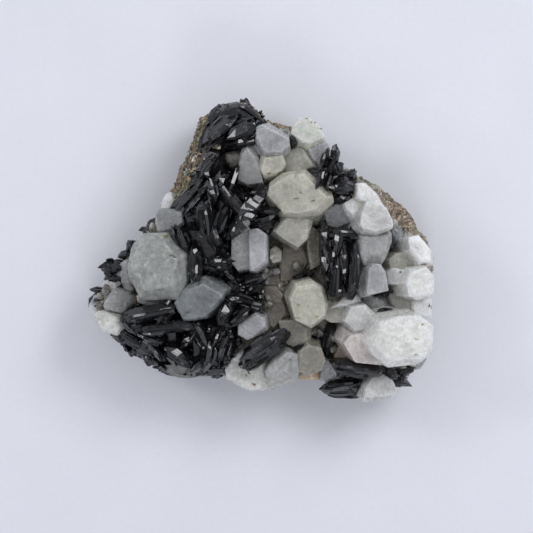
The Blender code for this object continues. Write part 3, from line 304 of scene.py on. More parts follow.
# Epidote blades: x, y, top level, length, width, thickness, heading, pitch, roll
MAIN_BLADES = (
    (-7.0, 35.6, 22.0, 5.4, 3.6, 5.0, 10, -18, 0),
    (-11.0, 33.6, 24.5, 6.2, 4.2, 5.0, 58, -10, 14),
    (-8.4, 33.6, 26.0, 7.0, 4.0, 5.0, 18, 6, 22),
    (-4.0, 33.6, 25.5, 5.4, 4.4, 5.0, -34, 6, 16),
    (-5.2, 29.6, 29.0, 8.4, 6.2, 6.0, 24, 8, -12),
    (-10.2, 30.2, 28.5, 8.6, 5.2, 6.0, 42, -6, 12),
    (-2.4, 29.6, 27.0, 5.8, 3.6, 5.0, 74, 8, -20),
    (-13.2, 28.6, 23.5, 7.6, 4.0, 5.0, 64, -8, 24),
    (-4.8, 26.8, 27.5, 6.4, 2.4, 4.0, 10, 10, -16),
    (-14.8, 23.6, 21.5, 5.2, 4.0, 5.0, 78, -10, 18),
    (-12.8, 21.2, 25.5, 6.4, 4.0, 5.0, 52, 6, -8),
    (-15.6, 18.2, 23.5, 5.6, 3.4, 5.0, 62, -12, 16),
    (-6.7, 18.6, 27.0, 5.4, 1.2, 4.0, 68, 16, 0),
    (-9.6, 17.4, 27.0, 4.4, 2.4, 4.0, 46, 8, -12),
    (-18.0, 14.4, 22.5, 10.4, 3.2, 4.5, 45, 8, 12),
    (-19.8, 12.0, 21.0, 8.4, 2.8, 4.5, 42, 10, 20),
    (-16.2, 12.4, 25.0, 8.4, 3.2, 4.5, 50, 8, -10),
    (-12.2, 15.0, 28.0, 5.4, 2.2, 4.0, 100, 14, 10),
    (-8.9, 14.0, 28.0, 7.4, 3.0, 4.5, 125, -8, 12),
    (-14.0, 8.6, 27.5, 8.4, 5.2, 5.0, 98, 5, -6),
    (-6.4, 11.4, 28.5, 7.2, 3.0, 4.5, 130, -6, -12),
    (-3.9, 9.4, 31.5, 13.0, 3.0, 4.5, 52, 9, -5),
    (-1.4, 11.6, 30.6, 5.6, 1.5, 4.0, 50, 10, 0),
    (-6.7, 5.6, 27.0, 5.4, 2.4, 4.5, 56, 8, 12),
    (0.0, 15.0, 26.0, 4.6, 3.2, 4.5, 4, 6, 12),
    (1.8, 10.2, 26.6, 5.8, 1.8, 4.0, 4, 10, 14),
    (0.6, 7.4, 24.6, 6.4, 4.2, 4.5, 20, -6, -12),
    (-9.6, 8.4, 27.5, 7.2, 3.6, 4.5, 70, 8, 12),
    (-12.0, 4.0, 26.0, 6.4, 3.6, 4.5, 110, -6, 16),
    (-19.9, 3.0, 26.0, 6.8, 3.6, 5.0, 114, 8, 12),
    (-16.7, -2.9, 26.0, 9.2, 3.6, 5.0, 96, 6, -10),
    (-10.6, -2.4, 26.5, 6.8, 2.2, 4.5, 4, 6, -12),
    (-2.8, -6.8, 20.5, 5.2, 3.2, 4.5, 20, 8, 12),
    (-1.8, -9.3, 21.6, 3.4, 2.6, 4.0, 22, -6, 10),
    (-0.6, -14.0, 20.4, 4.4, 2.4, 5.0, 100, 6, 12),
    (-4.0, -12.6, 22.4, 7.2, 3.0, 4.5, -20, 6, -12),
    (-7.0, -12.0, 23.6, 5.4, 1.8, 4.5, -10, 6, 12),
    (-8.7, -14.8, 26.0, 5.4, 2.8, 5.0, 60, 10, -10),
    (-5.5, -15.6, 24.0, 5.4, 3.0, 5.0, 40, 6, 12),
    (-9.6, -17.4, 23.6, 5.4, 2.8, 4.5, 100, 6, -12),
    (-28.0, -15.2, 26.0, 13.0, 4.2, 5.0, 12, 5, 8),
    (-23.8, -15.2, 25.6, 6.4, 3.2, 5.0, 60, -6, -10),
    (-33.2, -17.8, 22.6, 4.8, 2.8, 5.0, -50, 8, 12),
    (-30.4, -18.2, 22.8, 5.6, 3.2, 4.5, 10, -8, -14),
    (-24.4, -18.9, 25.0, 11.4, 3.2, 4.5, 6, 5, -14),
    (-18.8, -18.4, 24.6, 6.4, 2.6, 4.5, -16, 5, 10),
    (-27.2, -21.6, 22.6, 6.6, 3.6, 4.5, -20, 6, 12),
    (-33.0, -21.4, 18.2, 5.6, 3.6, 5.0, -30, 8, -10),
    (-26.8, -24.2, 21.4, 6.2, 2.2, 4.5, -50, 8, 14),
    (-21.1, -25.5, 23.4, 7.8, 3.8, 4.5, -36, 6, 12),
    (-18.6, -22.0, 24.0, 4.2, 2.0, 4.5, 50, 10, 12),
    (-15.4, -20.6, 24.0, 6.6, 4.0, 4.5, -60, 6, -10),
    (-11.2, -21.4, 25.4, 4.4, 1.4, 4.5, 62, 12, 0),
    (-13.4, -25.0, 23.0, 8.4, 4.0, 4.5, 80, -6, 10),
    (-9.4, -24.0, 21.6, 7.6, 4.0, 4.5, 70, -8, -12),
    (-15.6, -27.6, 20.8, 6.6, 3.8, 4.5, 40, -8, 12),
    (-11.6, -29.2, 18.4, 5.8, 3.6, 4.5, 4, -6, -10),
    (-29.2, -25.0, 16.6, 7.4, 3.8, 4.5, -34, 6, -14),
    (-24.4, -29.2, 14.2, 6.4, 2.6, 4.5, -26, 6, -12),
)
GREY_BLOCK = ((-19.8, -29.1, 19.6, 8.6, 4.6, 9.0, -6, -6, -10),)

SPRAY_BLADES = (
    (15.7, -0.3, 27.0, 12.6, 2.6, 6.0, 92, 4, -10),
    (16.9, -1.2, 29.0, 8.6, 1.8, 6.0, 95, -4, 8),
    (18.6, 1.4, 31.0, 6.6, 1.8, 6.0, 76, 8, -12),
    (18.1, -5.4, 28.6, 13.4, 3.0, 6.0, 88, 4, 6),
    (20.1, -2.4, 29.8, 8.8, 2.0, 6.0, 92, 5, -10),
    (22.3, -3.5, 28.2, 14.0, 3.6, 7.0, 90, -4, 10),
    (22.1, -9.0, 25.4, 5.4, 2.4, 6.0, 85, 6, 0),
    (18.0, -9.8, 25.6, 5.0, 2.6, 6.0, 70, 6, 8),
    (19.6, -8.6, 26.6, 4.6, 1.8, 6.0, 110, 5, -8),
    (22.0, 3.9, 27.2, 4.4, 2.4, 6.0, 0, 8, 6),
    (15.5, 5.6, 24.6, 4.4, 1.8, 6.0, 84, 8, 6),
    (18.4, 4.4, 26.0, 7.4, 2.6, 6.0, 4, 5, -8),
    (16.4, -6.4, 25.6, 5.6, 2.4, 6.0, 84, -4, -8),
)
SPIKE_BLADES = (
    (22.9, 6.7, 27.4, 4.6, 1.5, 8.0, 58, 10, 0),
)
UPPER_RIGHT_BLADES = (
    (15.4, 22.9, 29.6, 5.6, 1.5, 5.0, 68, 8, -12),
    (18.0, 23.5, 28.4, 5.2, 2.4, 6.0, 84, 8, 10),
    (16.7, 21.5, 28.8, 5.2, 2.6, 6.0, 64, -6, 12),
    (18.4, 20.5, 29.6, 3.4, 3.0, 6.0, 44, 6, -12),
    (13.9, 19.9, 26.6, 6.2, 2.6, 6.0, 8, 6, 12),
    (15.0, 18.4, 30.0, 5.2, 2.0, 6.0, 70, 7, -8),
    (16.5, 17.4, 28.6, 4.8, 2.2, 6.0, 72, -6, 12),
    (20.4, 18.8, 26.6, 3.4, 2.8, 6.0, 12, 6, 10),
    (22.0, 18.1, 26.8, 3.2, 2.6, 6.0, 64, -6, -12),
    (19.5, 16.3, 29.2, 5.6, 4.0, 6.0, 4, 6, 8),
    (22.2, 15.4, 26.0, 4.0, 2.0, 6.0, -34, 8, 10),
    (19.9, 13.3, 27.0, 3.4, 2.6, 7.0, 20, 6, -12),
    (22.0, 12.7, 26.0, 2.8, 2.2, 7.0, 40, -6, 10),
    (17.9, 14.0, 25.0, 3.4, 3.0, 6.0, 50, 6, 10),
    (17.6, 11.9, 25.6, 4.4, 2.4, 8.0, 30, -6, 10),
)
LENS_BLADES = (
    (0.2, -24.2, 24.4, 13.2, 6.0, 6.0, 37, 6, -12),
    (1.8, -22.4, 25.2, 8.6, 3.0, 4.0, 37, 5, -14),
    (-0.6, -25.6, 24.2, 8.6, 3.0, 4.0, 33, 6, 8),
)
LOWER_BLADES = (
    (23.8, -28.7, 24.0, 13.2, 3.4, 5.0, -9, 5, 10),
    (22.2, -29.4, 22.6, 8.6, 3.0, 5.0, -16, 6, -10),
    (28.4, -29.2, 22.0, 4.4, 2.0, 5.0, 10, 6, 10),
    (31.6, -30.0, 20.4, 5.4, 3.0, 7.0, -30, 6, 12),
    (34.6, -30.2, 17.6, 6.4, 2.6, 7.0, 14, -6, 8),
    (34.6, -32.4, 15.6, 4.8, 3.0, 7.0, -16, 6, -12),
    (36.6, -29.4, 15.4, 4.4, 2.6, 7.0, 50, -6, 10),
)
EDGE_BLADES = (
    (20.4, -33.0, 19.4, 9.6, 2.6, 5.0, 8, 5, 12),
    (20.4, -34.5, 18.2, 9.8, 2.8, 6.0, 2, 4, -8),
    (20.8, -35.7, 15.8, 7.6, 2.0, 6.0, -4, 5, -10),
    (17.4, -34.0, 17.2, 4.6, 3.0, 6.0, 12, -6, 8),
)

# Crystals by themselves: a node name, then its blades as above
SINGLE_CRYSTALS = {
    "epidote_left_edge_block": (
        (-37.0, -3.9, 18.6, 4.6, 4.4, 8.0, 10, 8, 10),
        (-36.6, -6.6, 17.6, 4.6, 3.6, 8.0, 4, -6, -8)),
    "epidote_left_tip_lumps": (
        (-41.2, -12.0, 16.2, 3.4, 3.2, 7.0, 40, 6, 8),
        (-40.2, -10.2, 15.4, 4.6, 2.6, 6.0, -8, -6, 10)),
    "epidote_upper_left_pair": (
        (-34.3, -0.7, 15.4, 3.8, 2.2, 6.0, 16, 8, 6),
        (-33.4, 1.0, 14.6, 3.0, 1.8, 6.0, 60, 6, 8),
        (-33.3, 2.4, 13.2, 1.9, 1.6, 5.0, 20, 6, 8)),
    "epidote_upper_left_wedge": (
        (-27.7, 6.8, 16.8, 3.8, 2.2, 7.0, 40, 8, 8),
        (-29.6, 5.6, 13.2, 2.0, 1.6, 5.0, 10, 6, 6)),
    "epidote_pocket_prisms": (
        (16.9, -21.8, 17.8, 8.4, 3.2, 6.0, 78, -8, 12),
        (13.8, -21.4, 15.4, 5.0, 3.2, 4.0, 84, -10, 8),
        (19.6, -19.6, 17.0, 4.6, 2.6, 6.0, 30, 8, 8)),
    "epidote_valley_chip": (
        (10.4, -6.1, 18.4, 4.6, 2.4, 5.0, 12, 6, 8),),
    "epidote_top_chip": (
        (7.9, 27.3, 26.6, 3.0, 2.0, 6.0, 96, 6, 8),),
    "epidote_right_pair": (
        (30.8, -14.9, 27.2, 3.6, 2.0, 10.0, -6, 6, 8),
        (28.9, -15.8, 27.6, 3.2, 1.8, 10.0, 8, -6, 8)),
    "epidote_right_chip": (
        (31.0, -10.2, 22.0, 2.4, 1.8, 6.0, 0, 6, 8),),
    "epidote_lower_chip": (
        (9.5, -24.0, 22.4, 3.0, 1.7, 6.0, 22, 6, 8),),
    "epidote_right_rim_crystals": (
        (33.0, 2.1, 21.6, 3.0, 1.8, 7.0, 30, 6, 8),
        (34.6, 4.2, 21.2, 2.4, 1.9, 7.0, 80, 6, -8)),
}


def wobble(row, column):
    """A fixed value from -0.5 to 0.5 that differs for every face of every crystal."""
    return math.modf(abs(math.sin(row * 12.9898 + column * 78.233)) * 43758.5453)[0] - 0.5


def facing(azimuth, slope):
    """Outward normal of a face that falls away towards an azimuth, both in degrees."""
    turn = math.radians(azimuth)
    fall = math.radians(slope)
    level = Vector((math.cos(turn), math.sin(turn), 0.0))
    return level * math.sin(fall) + UP * math.cos(fall)


def counter_clockwise(outline):
    points = [Vector((x, y, 0.0)) for x, y in outline]
    area = sum(a.x * b.y - b.x * a.y for a, b in zip(points, points[1:] + points[:1]))
    return points if area > 0.0 else points[::-1]


def convex(planes, centre, reach):
    """A closed convex body in metres: a cube cut by planes, each a point and a normal."""
    body = bmesh.new()
    bmesh.ops.create_cube(body, size=2.0 * reach)
    bmesh.ops.translate(body, verts=body.verts, vec=centre)
    for point, normal in planes:
        whole = body.verts[:] + body.edges[:] + body.faces[:]
        cut = bmesh.ops.bisect_plane(
            body, geom=whole, plane_co=point, plane_no=normal, clear_outer=True
        )
        rim = [part for part in cut["geom_cut"] if isinstance(part, bmesh.types.BMEdge)]
        if rim:
            bmesh.ops.contextual_create(body, geom=rim)
    bmesh.ops.recalc_face_normals(body, faces=body.faces)
    bmesh.ops.scale(body, verts=body.verts, vec=(MM, MM, MM))
    return body


def crystal(row, outline, top, main_face, taper, reach, foot, lean, grow=0.0):
    """A stout crystal: a main face on top, a side for each edge, a crown face for each long one."""
    points = counter_clockwise(outline)
    centre = sum(points, Vector()) / len(points)
    top += DATUM
    shoulder = top - SHOULDER_DROP
    axis = UP + (centre - CENTRE) * lean
    planes = [(Vector((centre.x, centre.y, foot - grow)), DOWN)]
    level = facing(*main_face)
    planes.append((Vector((centre.x, centre.y, top)) + level * grow, level))
    for column, (a, b) in enumerate(zip(points, points[1:] + points[:1])):
        along = (b - a).normalized()
        side = along.cross(axis).normalized() + UP * math.tan(math.radians(taper))
        side.normalize()
        planes.append((Vector((a.x, a.y, shoulder)) + side * grow, side))
        if (b - a).length < SHORTEST_CROWN:
            continue
        out = along.cross(UP)
        start = (a - centre).dot(out) * (reach + 0.16 * wobble(row, column + 7))
        slope = CROWN_SLOPE + CROWN_SPREAD * wobble(row, column)
        crown = facing(math.degrees(math.atan2(out.y, out.x)), slope)
        edge = centre + out * start
        planes.append((Vector((edge.x, edge.y, top)) + crown * grow, crown))
    return convex(planes, Vector((centre.x, centre.y, top)), 60.0)


def blade(row, place, grow=0.0):
    """A flattened crystal with a six-sided section and a blunt wedge at each end."""
    x, y, top, length, width, thickness, heading, pitch, roll = place
    centre = Vector((x, y, top + DATUM - 0.5 * thickness))
    turn = Euler((math.radians(roll), math.radians(-pitch), math.radians(heading)), "XYZ").to_matrix()
    slant = math.radians(EDGE_SLANT)
    faces = [(Vector((0, 0, side * thickness / 2)), Vector((0, 0, side))) for side in (-1, 1)]
    for side in (-1, 1):
        for rise in (-1, 1):
            normal = Vector((0, side * math.cos(slant), rise * math.sin(slant)))
            faces.append((Vector((0, side * width / 2, 0)), normal))
    for end in (-1, 1):
        for side in (-1, 1):
            angle = math.radians(END_SLANT + 30.0 * wobble(row, 3 * end + side + 9))
            rise = 0.35 + 0.4 * wobble(row, 5 * end + side + 20)
            normal = Vector((end * math.cos(angle), side * math.sin(angle), rise)).normalized()
            faces.append((Vector((end * length / 2, 0, 0)), normal))
    planes = [(centre + turn @ (point + normal * grow), turn @ normal) for point, normal in faces]
    return convex(planes, centre, 30.0)


def masses(rows, foot, grow=0.0):
    return [
        crystal(row + 300, outline, top, slope, MASS_TAPER, 0.7, foot - FOOT_STEP * row, 0.0, grow)
        for row, (top, slope, outline) in enumerate(rows)
    ]


def blades(rows, seed, grow=0.0):
    return [blade(row + seed, place, grow) for row, place in enumerate(rows)]


# Epidote pieces: a node name, its finish, its masses, its blades and its first row number
EPIDOTE_PIECES = [
    ("epidote_main_mass", "epidote", MAIN_MASSES, MAIN_BLADES, 0),
    ("epidote_grey_block", "grey_crystal", (), GREY_BLOCK, 90),
    ("epidote_right_spray", "epidote", (), SPRAY_BLADES, 100),
    ("epidote_spike", "epidote", (), SPIKE_BLADES, 120),
    ("epidote_upper_right_cluster", "epidote", (), UPPER_RIGHT_BLADES, 130),
    ("epidote_lens", "epidote", (), LENS_BLADES, 150),
    ("epidote_lower_right_blade", "epidote", (), LOWER_BLADES, 160),
    ("epidote_lower_edge_cluster", "epidote", (), EDGE_BLADES, 170),
] + [
    (name, "epidote", (), rows, 200 + 10 * number)
    for number, (name, rows) in enumerate(SINGLE_CRYSTALS.items())
]



# What a kind of quartz looks like: its colour, 1 for cloudy or 0 for clear, the width that its
# edges are worn to, and how deep its faces are pitted
QUARTZ_KINDS = {
    "cream": ((198, 196, 182), 1, 0.30, 0.05),
    "beige": ((186, 184, 172), 1, 0.28, 0.05),
    "mid_beige": ((172, 169, 157), 0, 0.26, 0.06),
    "grey": ((186, 187, 184), 0, 0.26, 0.04),
    "mid": ((168, 170, 169), 0, 0.26, 0.05),
    "lavender": ((206, 206, 207), 0, 0.26, 0.03),
    "light": ((214, 214, 210), 1, 0.30, 0.05),
    "white": ((236, 236, 230), 1, 0.34, 0.06),
    "greenish": ((216, 218, 208), 1, 0.30, 0.06),
    "smoky": ((168, 164, 152), 0, 0.24, 0.05),
    "brown": ((146, 139, 127), 0, 0.24, 0.05),
    "mottled": ((170, 172, 167), 1, 0.30, 0.20),
    "dark_grey": ((136, 140, 140), 1, 0.30, 0.18),
    "pink": ((218, 210, 204), 1, 0.30, 0.05),
    "dull_pink": ((160, 144, 132), 1, 0.24, 0.08),
    "orange": ((214, 190, 158), 1, 0.25, 0.16),
    "rough_white": ((218, 218, 211), 1, 0.30, 0.26),
    "rough_grey": ((172, 173, 170), 1, 0.30, 0.22),
}
# The quartz's rounded edges and corners get a lighter colour than its faces: a painted highlight
EDGE_HIGHLIGHT_LIFT = 1.12

# The kind of each crystal that isn't plain grey
KIND_OF = {
    "big_cream": "cream", "hexagon_below": "beige", "twin_right": "lavender",
    "small_beside_twin": "smoky", "brown_grey": "smoky", "top_grey": "lavender",
    "yellow_prism": "cream", "cream_behind": "beige", "green_white": "greenish",
    "beside_green_white": "lavender", "grey_in_epidote": "mid", "bright_chips": "white",
    "right_upper": "light", "right_large": "light", "light_prism": "lavender",
    "right_edge_upper": "light", "beige_right": "beige", "right_middle": "light",
    "right_edge_middle": "white", "beige_triangle": "beige", "right_edge_lower": "white",
    "big_white": "white", "pink_white": "pink", "round_light": "light", "round_flat": "cream",
    "triangle_light": "light", "under_triangle": "beige", "shards_right": "mid",
    "pocket_edge": "mid_beige", "beige_grey": "mid_beige", "pocket_pink": "dull_pink",
    "grey_bottom": "mid", "orange_patch": "orange", "bottom_grey": "rough_grey",
    "bottom_white": "rough_white", "striated_small": "lavender", "brown_well_upper": "brown",
    "brown_well_lower": "brown", "valley_grey": "brown", "valley_strip": "smoky",
    "valley_low": "brown", "lower_right": "light", "right_shards": "dark_grey",
    "big_left": "mottled", "big_left_foot": "light", "upper_left": "mid", "bright_chip": "white",
    "dark_grey_large": "dark_grey", "left_rough": "rough_grey", "left_upper_rough": "rough_grey",
    "left_bottom": "rough_white", "left_tip": "light", "left_edge_pale": "light",
}
CLOUDY, CLEAR = 0, 1


def linear(colour):
    """A colour of 0 to 255 as the values that a shader takes."""
    def channel(value):
        share = value / 255.0
        return share / 12.92 if share <= 0.04045 else ((share + 0.055) / 1.055) ** 2.4
    return tuple(channel(value) for value in colour)


def unit(row, column):
    """A fixed value from 0 to 1."""
    return wobble(row, column) + 0.5


def paint(body, tint, origin, turn=Matrix.Identity(3), shift=0.0):
    """Stores a body's colour, lighter on its rounded edges as a painted highlight, and where each corner lies in the
    crystal's own frame, in mm.
    """
    colour = body.loops.layers.float_color.new("tint")
    place = body.loops.layers.float_vector.new("lie")
    edges = body.faces.layers.int.get("worn")
    back = turn.transposed()
    shift = Vector((shift, 0.7 * shift, 0.3 * shift))
    for face in body.faces:
        # Rounded edges get a lighter colour: a painted highlight
        lift = EDGE_HIGHLIGHT_LIFT if edges and face[edges] else 1.0
        for corner in face.loops:
            corner[colour] = (*(min(c * lift, 0.9) for c in tint), 1.0)
            corner[place] = back @ (corner.vert.co / MM - origin) + shift
    if edges:
        body.faces.layers.int.remove(edges)


def hull_of(points):
    """The tight convex skin round some points in metres."""
    skin = bmesh.new()
    for point in points:
        skin.verts.new(point)
    made = bmesh.ops.convex_hull(skin, input=skin.verts)
    inside_parts = set(made["geom_interior"]) | set(made["geom_unused"])
    spare = [part for part in inside_parts if isinstance(part, bmesh.types.BMVert)]
    bmesh.ops.delete(skin, geom=spare, context="VERTS")
    return skin


# How closely a face points along a crystal's own face before it counts as part of it
FACET_MATCH = 0.9985


def worn(body, weld, width, segments=2):
    """The same convex body without its slivers, with its edges rounded off and those rounded faces marked for a painted
    highlight.
    """
    bmesh.ops.remove_doubles(body, verts=body.verts, dist=weld * MM)
    skin = hull_of([vertex.co.copy() for vertex in body.verts])
    body.free()
    bmesh.ops.dissolve_limit(skin, angle_limit=math.radians(2.0), verts=skin.verts, edges=skin.edges)
    skin.normal_update()
    facets = [face.normal.copy() for face in skin.faces]
    bmesh.ops.bevel(
        skin, geom=skin.edges[:], offset=width * MM, offset_type="OFFSET", segments=segments,
        profile=0.5, affect="EDGES", clamp_overlap=True,
    )
    rounded = hull_of([vertex.co.copy() for vertex in skin.verts])
    skin.free()
    rounded.normal_update()
    # Faces that match none of the crystal's own faces are the rounded edges, marked for a painted highlight
    edges = rounded.faces.layers.int.new("worn")
    for face in rounded.faces:
        face[edges] = int(all(face.normal.dot(facet) < FACET_MATCH for facet in facets))
    return rounded


def refined(body, step):
    """The same body as an even mesh whose points stand a step apart, in mm."""
    thing = bpy.data.objects.new("refined", mesh_from(body, "refined"))
    bpy.context.scene.collection.objects.link(thing)
    remesh = thing.modifiers.new("Fine", "REMESH")
    remesh.mode = "VOXEL"
    remesh.voxel_size = step * MM
    graph = bpy.context.evaluated_depsgraph_get()
    fine = bmesh.new()
    fine.from_mesh(thing.evaluated_get(graph).to_mesh())
    spent = thing.data
    bpy.data.objects.remove(thing, do_unlink=True)
    bpy.data.meshes.remove(spent)
    return fine


def uneven(body, step, depth, grain, seed):
    """Makes a body's mesh fine, then moves its points in and out a little."""
    body = refined(body, step)
    body.normal_update()
    shift = Vector((seed * 3.1, seed * 1.7, seed * 2.3))
    for vertex in body.verts:
        spot = vertex.co / MM
        slow = noise.noise(spot * grain + shift)
        quick = noise.noise(spot * grain * 3.7 + shift)
        vertex.co += vertex.normal * (slow + 0.5 * quick) * depth * MM
    bmesh.ops.triangulate(body, faces=body.faces)
    return body


def mesh_from(body, name):
    mesh = bpy.data.meshes.new(name)
    body.to_mesh(mesh)
    body.free()
    return mesh


def joined(name, bodies, materials):
    """One object: all bodies joined, with what lies inside others gone."""
    thing = bpy.data.objects.new(name, mesh_from(bodies[0], name))
    bpy.context.scene.collection.objects.link(thing)
    group = bpy.data.collections.new(name)
    bpy.context.scene.collection.children.link(group)
    for material in materials:
        thing.data.materials.append(material)
    for number, body in enumerate(bodies[1:]):
        helper = bpy.data.objects.new(f"{name}_{number}", mesh_from(body, f"{name}_{number}"))
        for material in materials:
            helper.data.materials.append(material)
        group.objects.link(helper)
    step = thing.modifiers.new("Join", "BOOLEAN")
    step.operation = "UNION"
    step.solver = "MANIFOLD"
    step.operand_type = "COLLECTION"
    step.collection = group
    graph = bpy.context.evaluated_depsgraph_get()
    whole = bpy.data.meshes.new_from_object(thing.evaluated_get(graph))
    thing.modifiers.clear()
    rough_mesh = thing.data
    thing.data = whole
    whole.name = name
    bpy.data.meshes.remove(rough_mesh)
    for helper in list(group.objects):
        spent = helper.data
        bpy.data.objects.remove(helper, do_unlink=True)
        bpy.data.meshes.remove(spent)
    bpy.data.collections.remove(group)
    return thing


def shade(thing, angle):
    """Smooth over low angles, sharp over high ones, and weighted to the large faces."""
    thing.data.shade_smooth()
    thing.data.set_sharp_from_angle(angle=math.radians(angle))
    step = thing.modifiers.new("Weigh", "WEIGHTED_NORMAL")
    step.keep_sharp = True
    graph = bpy.context.evaluated_depsgraph_get()
    weighed = bpy.data.meshes.new_from_object(thing.evaluated_get(graph))
    thing.modifiers.clear()
    spent = thing.data
    thing.data = weighed
    bpy.data.meshes.remove(spent)


def hand_in(thing, slot, *nodes):
    """Fixes a finished piece in the frame, in place of the solids it stands for."""
    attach(thing, "root")
    if nodes:
        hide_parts(*nodes)
    return thing


def inside(x, y, outline):
    """Whether a point lies within an outline."""
    odd = False
    for (ax, ay), (bx, by) in zip(outline, outline[1:] + outline[:1]):
        if (ay > y) != (by > y) and x < ax + (y - ay) * (bx - ax) / (by - ay):
            odd = not odd
    return odd


# Quartz

def quartz_crystal(row, name, shape, sizes):
    """One large quartz crystal, worn and pitted as its kind is."""
    top, main_face, taper, reach, outline = shape
    tint, cloudy, wear, pits = QUARTZ_KINDS[KIND_OF.get(name, "grey")]
    foot = QUARTZ_FOOT - FOOT_STEP * row
    body = crystal(row, outline, top, main_face, taper, reach, foot, QUARTZ_LEAN)
    body = worn(body, 0.3, wear)
    if pits > 0.15:
        body = uneven(body, 0.45, pits, 0.9, row)
    points = counter_clockwise(outline)
    centre = sum(points, Vector()) / len(points)
    paint(body, linear(tint), centre, shift=7.3 * row)
    for face in body.faces:
        face.material_index = CLOUDY if cloudy else CLEAR
    return body


def small_crystal(rng, base, axis, length, radius, tint, cloudy):
    """A small six-sided crystal with a pointed end, standing on a base point."""
    body = bmesh.new()
    turn = axis.to_track_quat("Z", "Y").to_matrix() @ Euler((0, 0, rng.uniform(0, 6.28))).to_matrix()
    widths = [radius * rng.uniform(0.8, 1.15) for _ in range(3)] * 2
    squash = rng.uniform(0.65, 1.0)
    ring = []
    for k in range(6):
        angle = math.radians(60.0 * k)
        ring.append(Vector((math.cos(angle) * widths[k], math.sin(angle) * widths[k] * squash, 0.0)))
    shoulder = length * rng.uniform(0.5, 0.8)
    low = [body.verts.new((base + turn @ point) * MM) for point in ring]
    high = []
    for point in ring:
        rise = shoulder * rng.uniform(0.88, 1.06)
        high.append(body.verts.new((base + turn @ (point * 0.96 + UP * rise)) * MM))
    apex = Vector((rng.uniform(-0.3, 0.3), rng.uniform(-0.3, 0.3), 0.0)) * radius
    tip = body.verts.new((base + turn @ (apex + UP * length)) * MM)
    for k in range(6):
        after = (k + 1) % 6
        body.faces.new((low[k], low[after], high[after], high[k]))
        body.faces.new((high[k], high[after], tip))
    body.faces.new(low[::-1])
    bmesh.ops.triangulate(body, faces=body.faces)
    bmesh.ops.recalc_face_normals(body, faces=body.faces)
    body = worn(body, 0.05, 0.06 * min(radius, 2.0), 1)
    paint(body, tint, base, turn, rng.uniform(0, 90))
    for face in body.faces:
        face.material_index = CLOUDY if cloudy else CLEAR
    return body


def crust_body(outline, seed, tint):
    """The stretch of granular quartz that a group stands on."""
    body = bmesh.new()
    corners = [body.verts.new((p.x * MM, p.y * MM, QUARTZ_FOOT * MM)) for p in counter_clockwise(outline)]
    floor = body.faces.new(corners)
    grown = bmesh.ops.extrude_face_region(body, geom=[floor])
    lifted = [part for part in grown["geom"] if isinstance(part, bmesh.types.BMVert)]
    middle = sum((vertex.co for vertex in lifted), Vector()) / len(lifted)
    for vertex in lifted:
        vertex.co = middle + (vertex.co - middle) * 0.965
        vertex.co.z = (CRUST_TOP - 0.6) * MM
    bmesh.ops.triangulate(body, faces=body.faces)
    bmesh.ops.recalc_face_normals(body, faces=body.faces)
    body = uneven(body, 0.8, 0.5, 0.55, seed)
    paint(body, tint, Vector(), shift=seed)
    for face in body.faces:
        face.material_index = CLOUDY
    return body


def surface_of(bodies):
    """A tree of several bodies' faces, for finding the surface from outside."""
    points = []
    faces = []
    for body in bodies:
        body.verts.index_update()
        first = len(points)
        points += [vertex.co.copy() for vertex in body.verts]
        faces += [[first + vertex.index for vertex in face.verts] for face in body.faces]
    return BVHTree.FromPolygons(points, faces)


def drop_point(tree, x, y):
    """The highest point of a surface above a place, in mm, and its normal."""
    hit = tree.ray_cast(Vector((x * MM, y * MM, 0.1)), DOWN)
    if hit[0] is None:
        return None, None
    return hit[0] / MM, hit[1]


def rim_crystals(rng, outline, sizes, blocked):
    """Small crystals that lean out of a crust's edge."""
    bodies = []
    points = counter_clockwise(outline)
    for a, b in zip(points, points[1:] + points[:1]):
        along = b - a
        out = along.normalized().cross(UP)
        for k in range(max(1, round(along.length / sizes.rim_spacing))):
            share = (k + rng.random()) / max(1, round(along.length / sizes.rim_spacing))
            spot = a + along * share - out * rng.uniform(1.4, 2.6)
            if blocked(spot.x, spot.y):
                continue
            for level in (10.4, 13.2, 15.6):
                radius = rng.uniform(0.7, 1.7)
                base = Vector((spot.x, spot.y, level + rng.uniform(-1.0, 1.0)))
                axis = (out * rng.uniform(0.35, 1.0) + UP * rng.uniform(0.5, 1.2))
                axis += along.normalized() * rng.uniform(-0.4, 0.4)
                length = rng.uniform(2.4, 4.4)
                kind = rng.choice(("grey", "light", "beige", "cream", "mid"))
                tint, cloudy, _, _ = QUARTZ_KINDS[kind]
                bodies.append(small_crystal(rng, base, axis.normalized(), length, radius, linear(tint), cloudy))
    return bodies


def gap_crystals(rng, outline, tree, count, blocked):
    """Small crystals on the crust, between the large ones."""
    bodies = []
    xs = [x for x, _ in outline]
    ys = [y for _, y in outline]
    for _ in range(count):
        x = rng.uniform(min(xs), max(xs))
        y = rng.uniform(min(ys), max(ys))
        if not inside(x, y, outline) or blocked(x, y):
            continue
        spot, _ = drop_point(tree, x, y)
        if spot is None or spot.z > CRUST_TOP + 1.2:
            continue
        axis = Vector((rng.uniform(-0.5, 0.5), rng.uniform(-0.5, 0.5), 1.0)).normalized()
        radius = rng.uniform(0.5, 1.4)
        kind = rng.choice(("smoky", "brown", "brown", "mid", "mid_beige"))
        tint, cloudy, _, _ = QUARTZ_KINDS[kind]
        base = spot - UP * 0.8
        bodies.append(small_crystal(rng, base, axis, rng.uniform(1.8, 4.6), radius, linear(tint), cloudy))
    return bodies


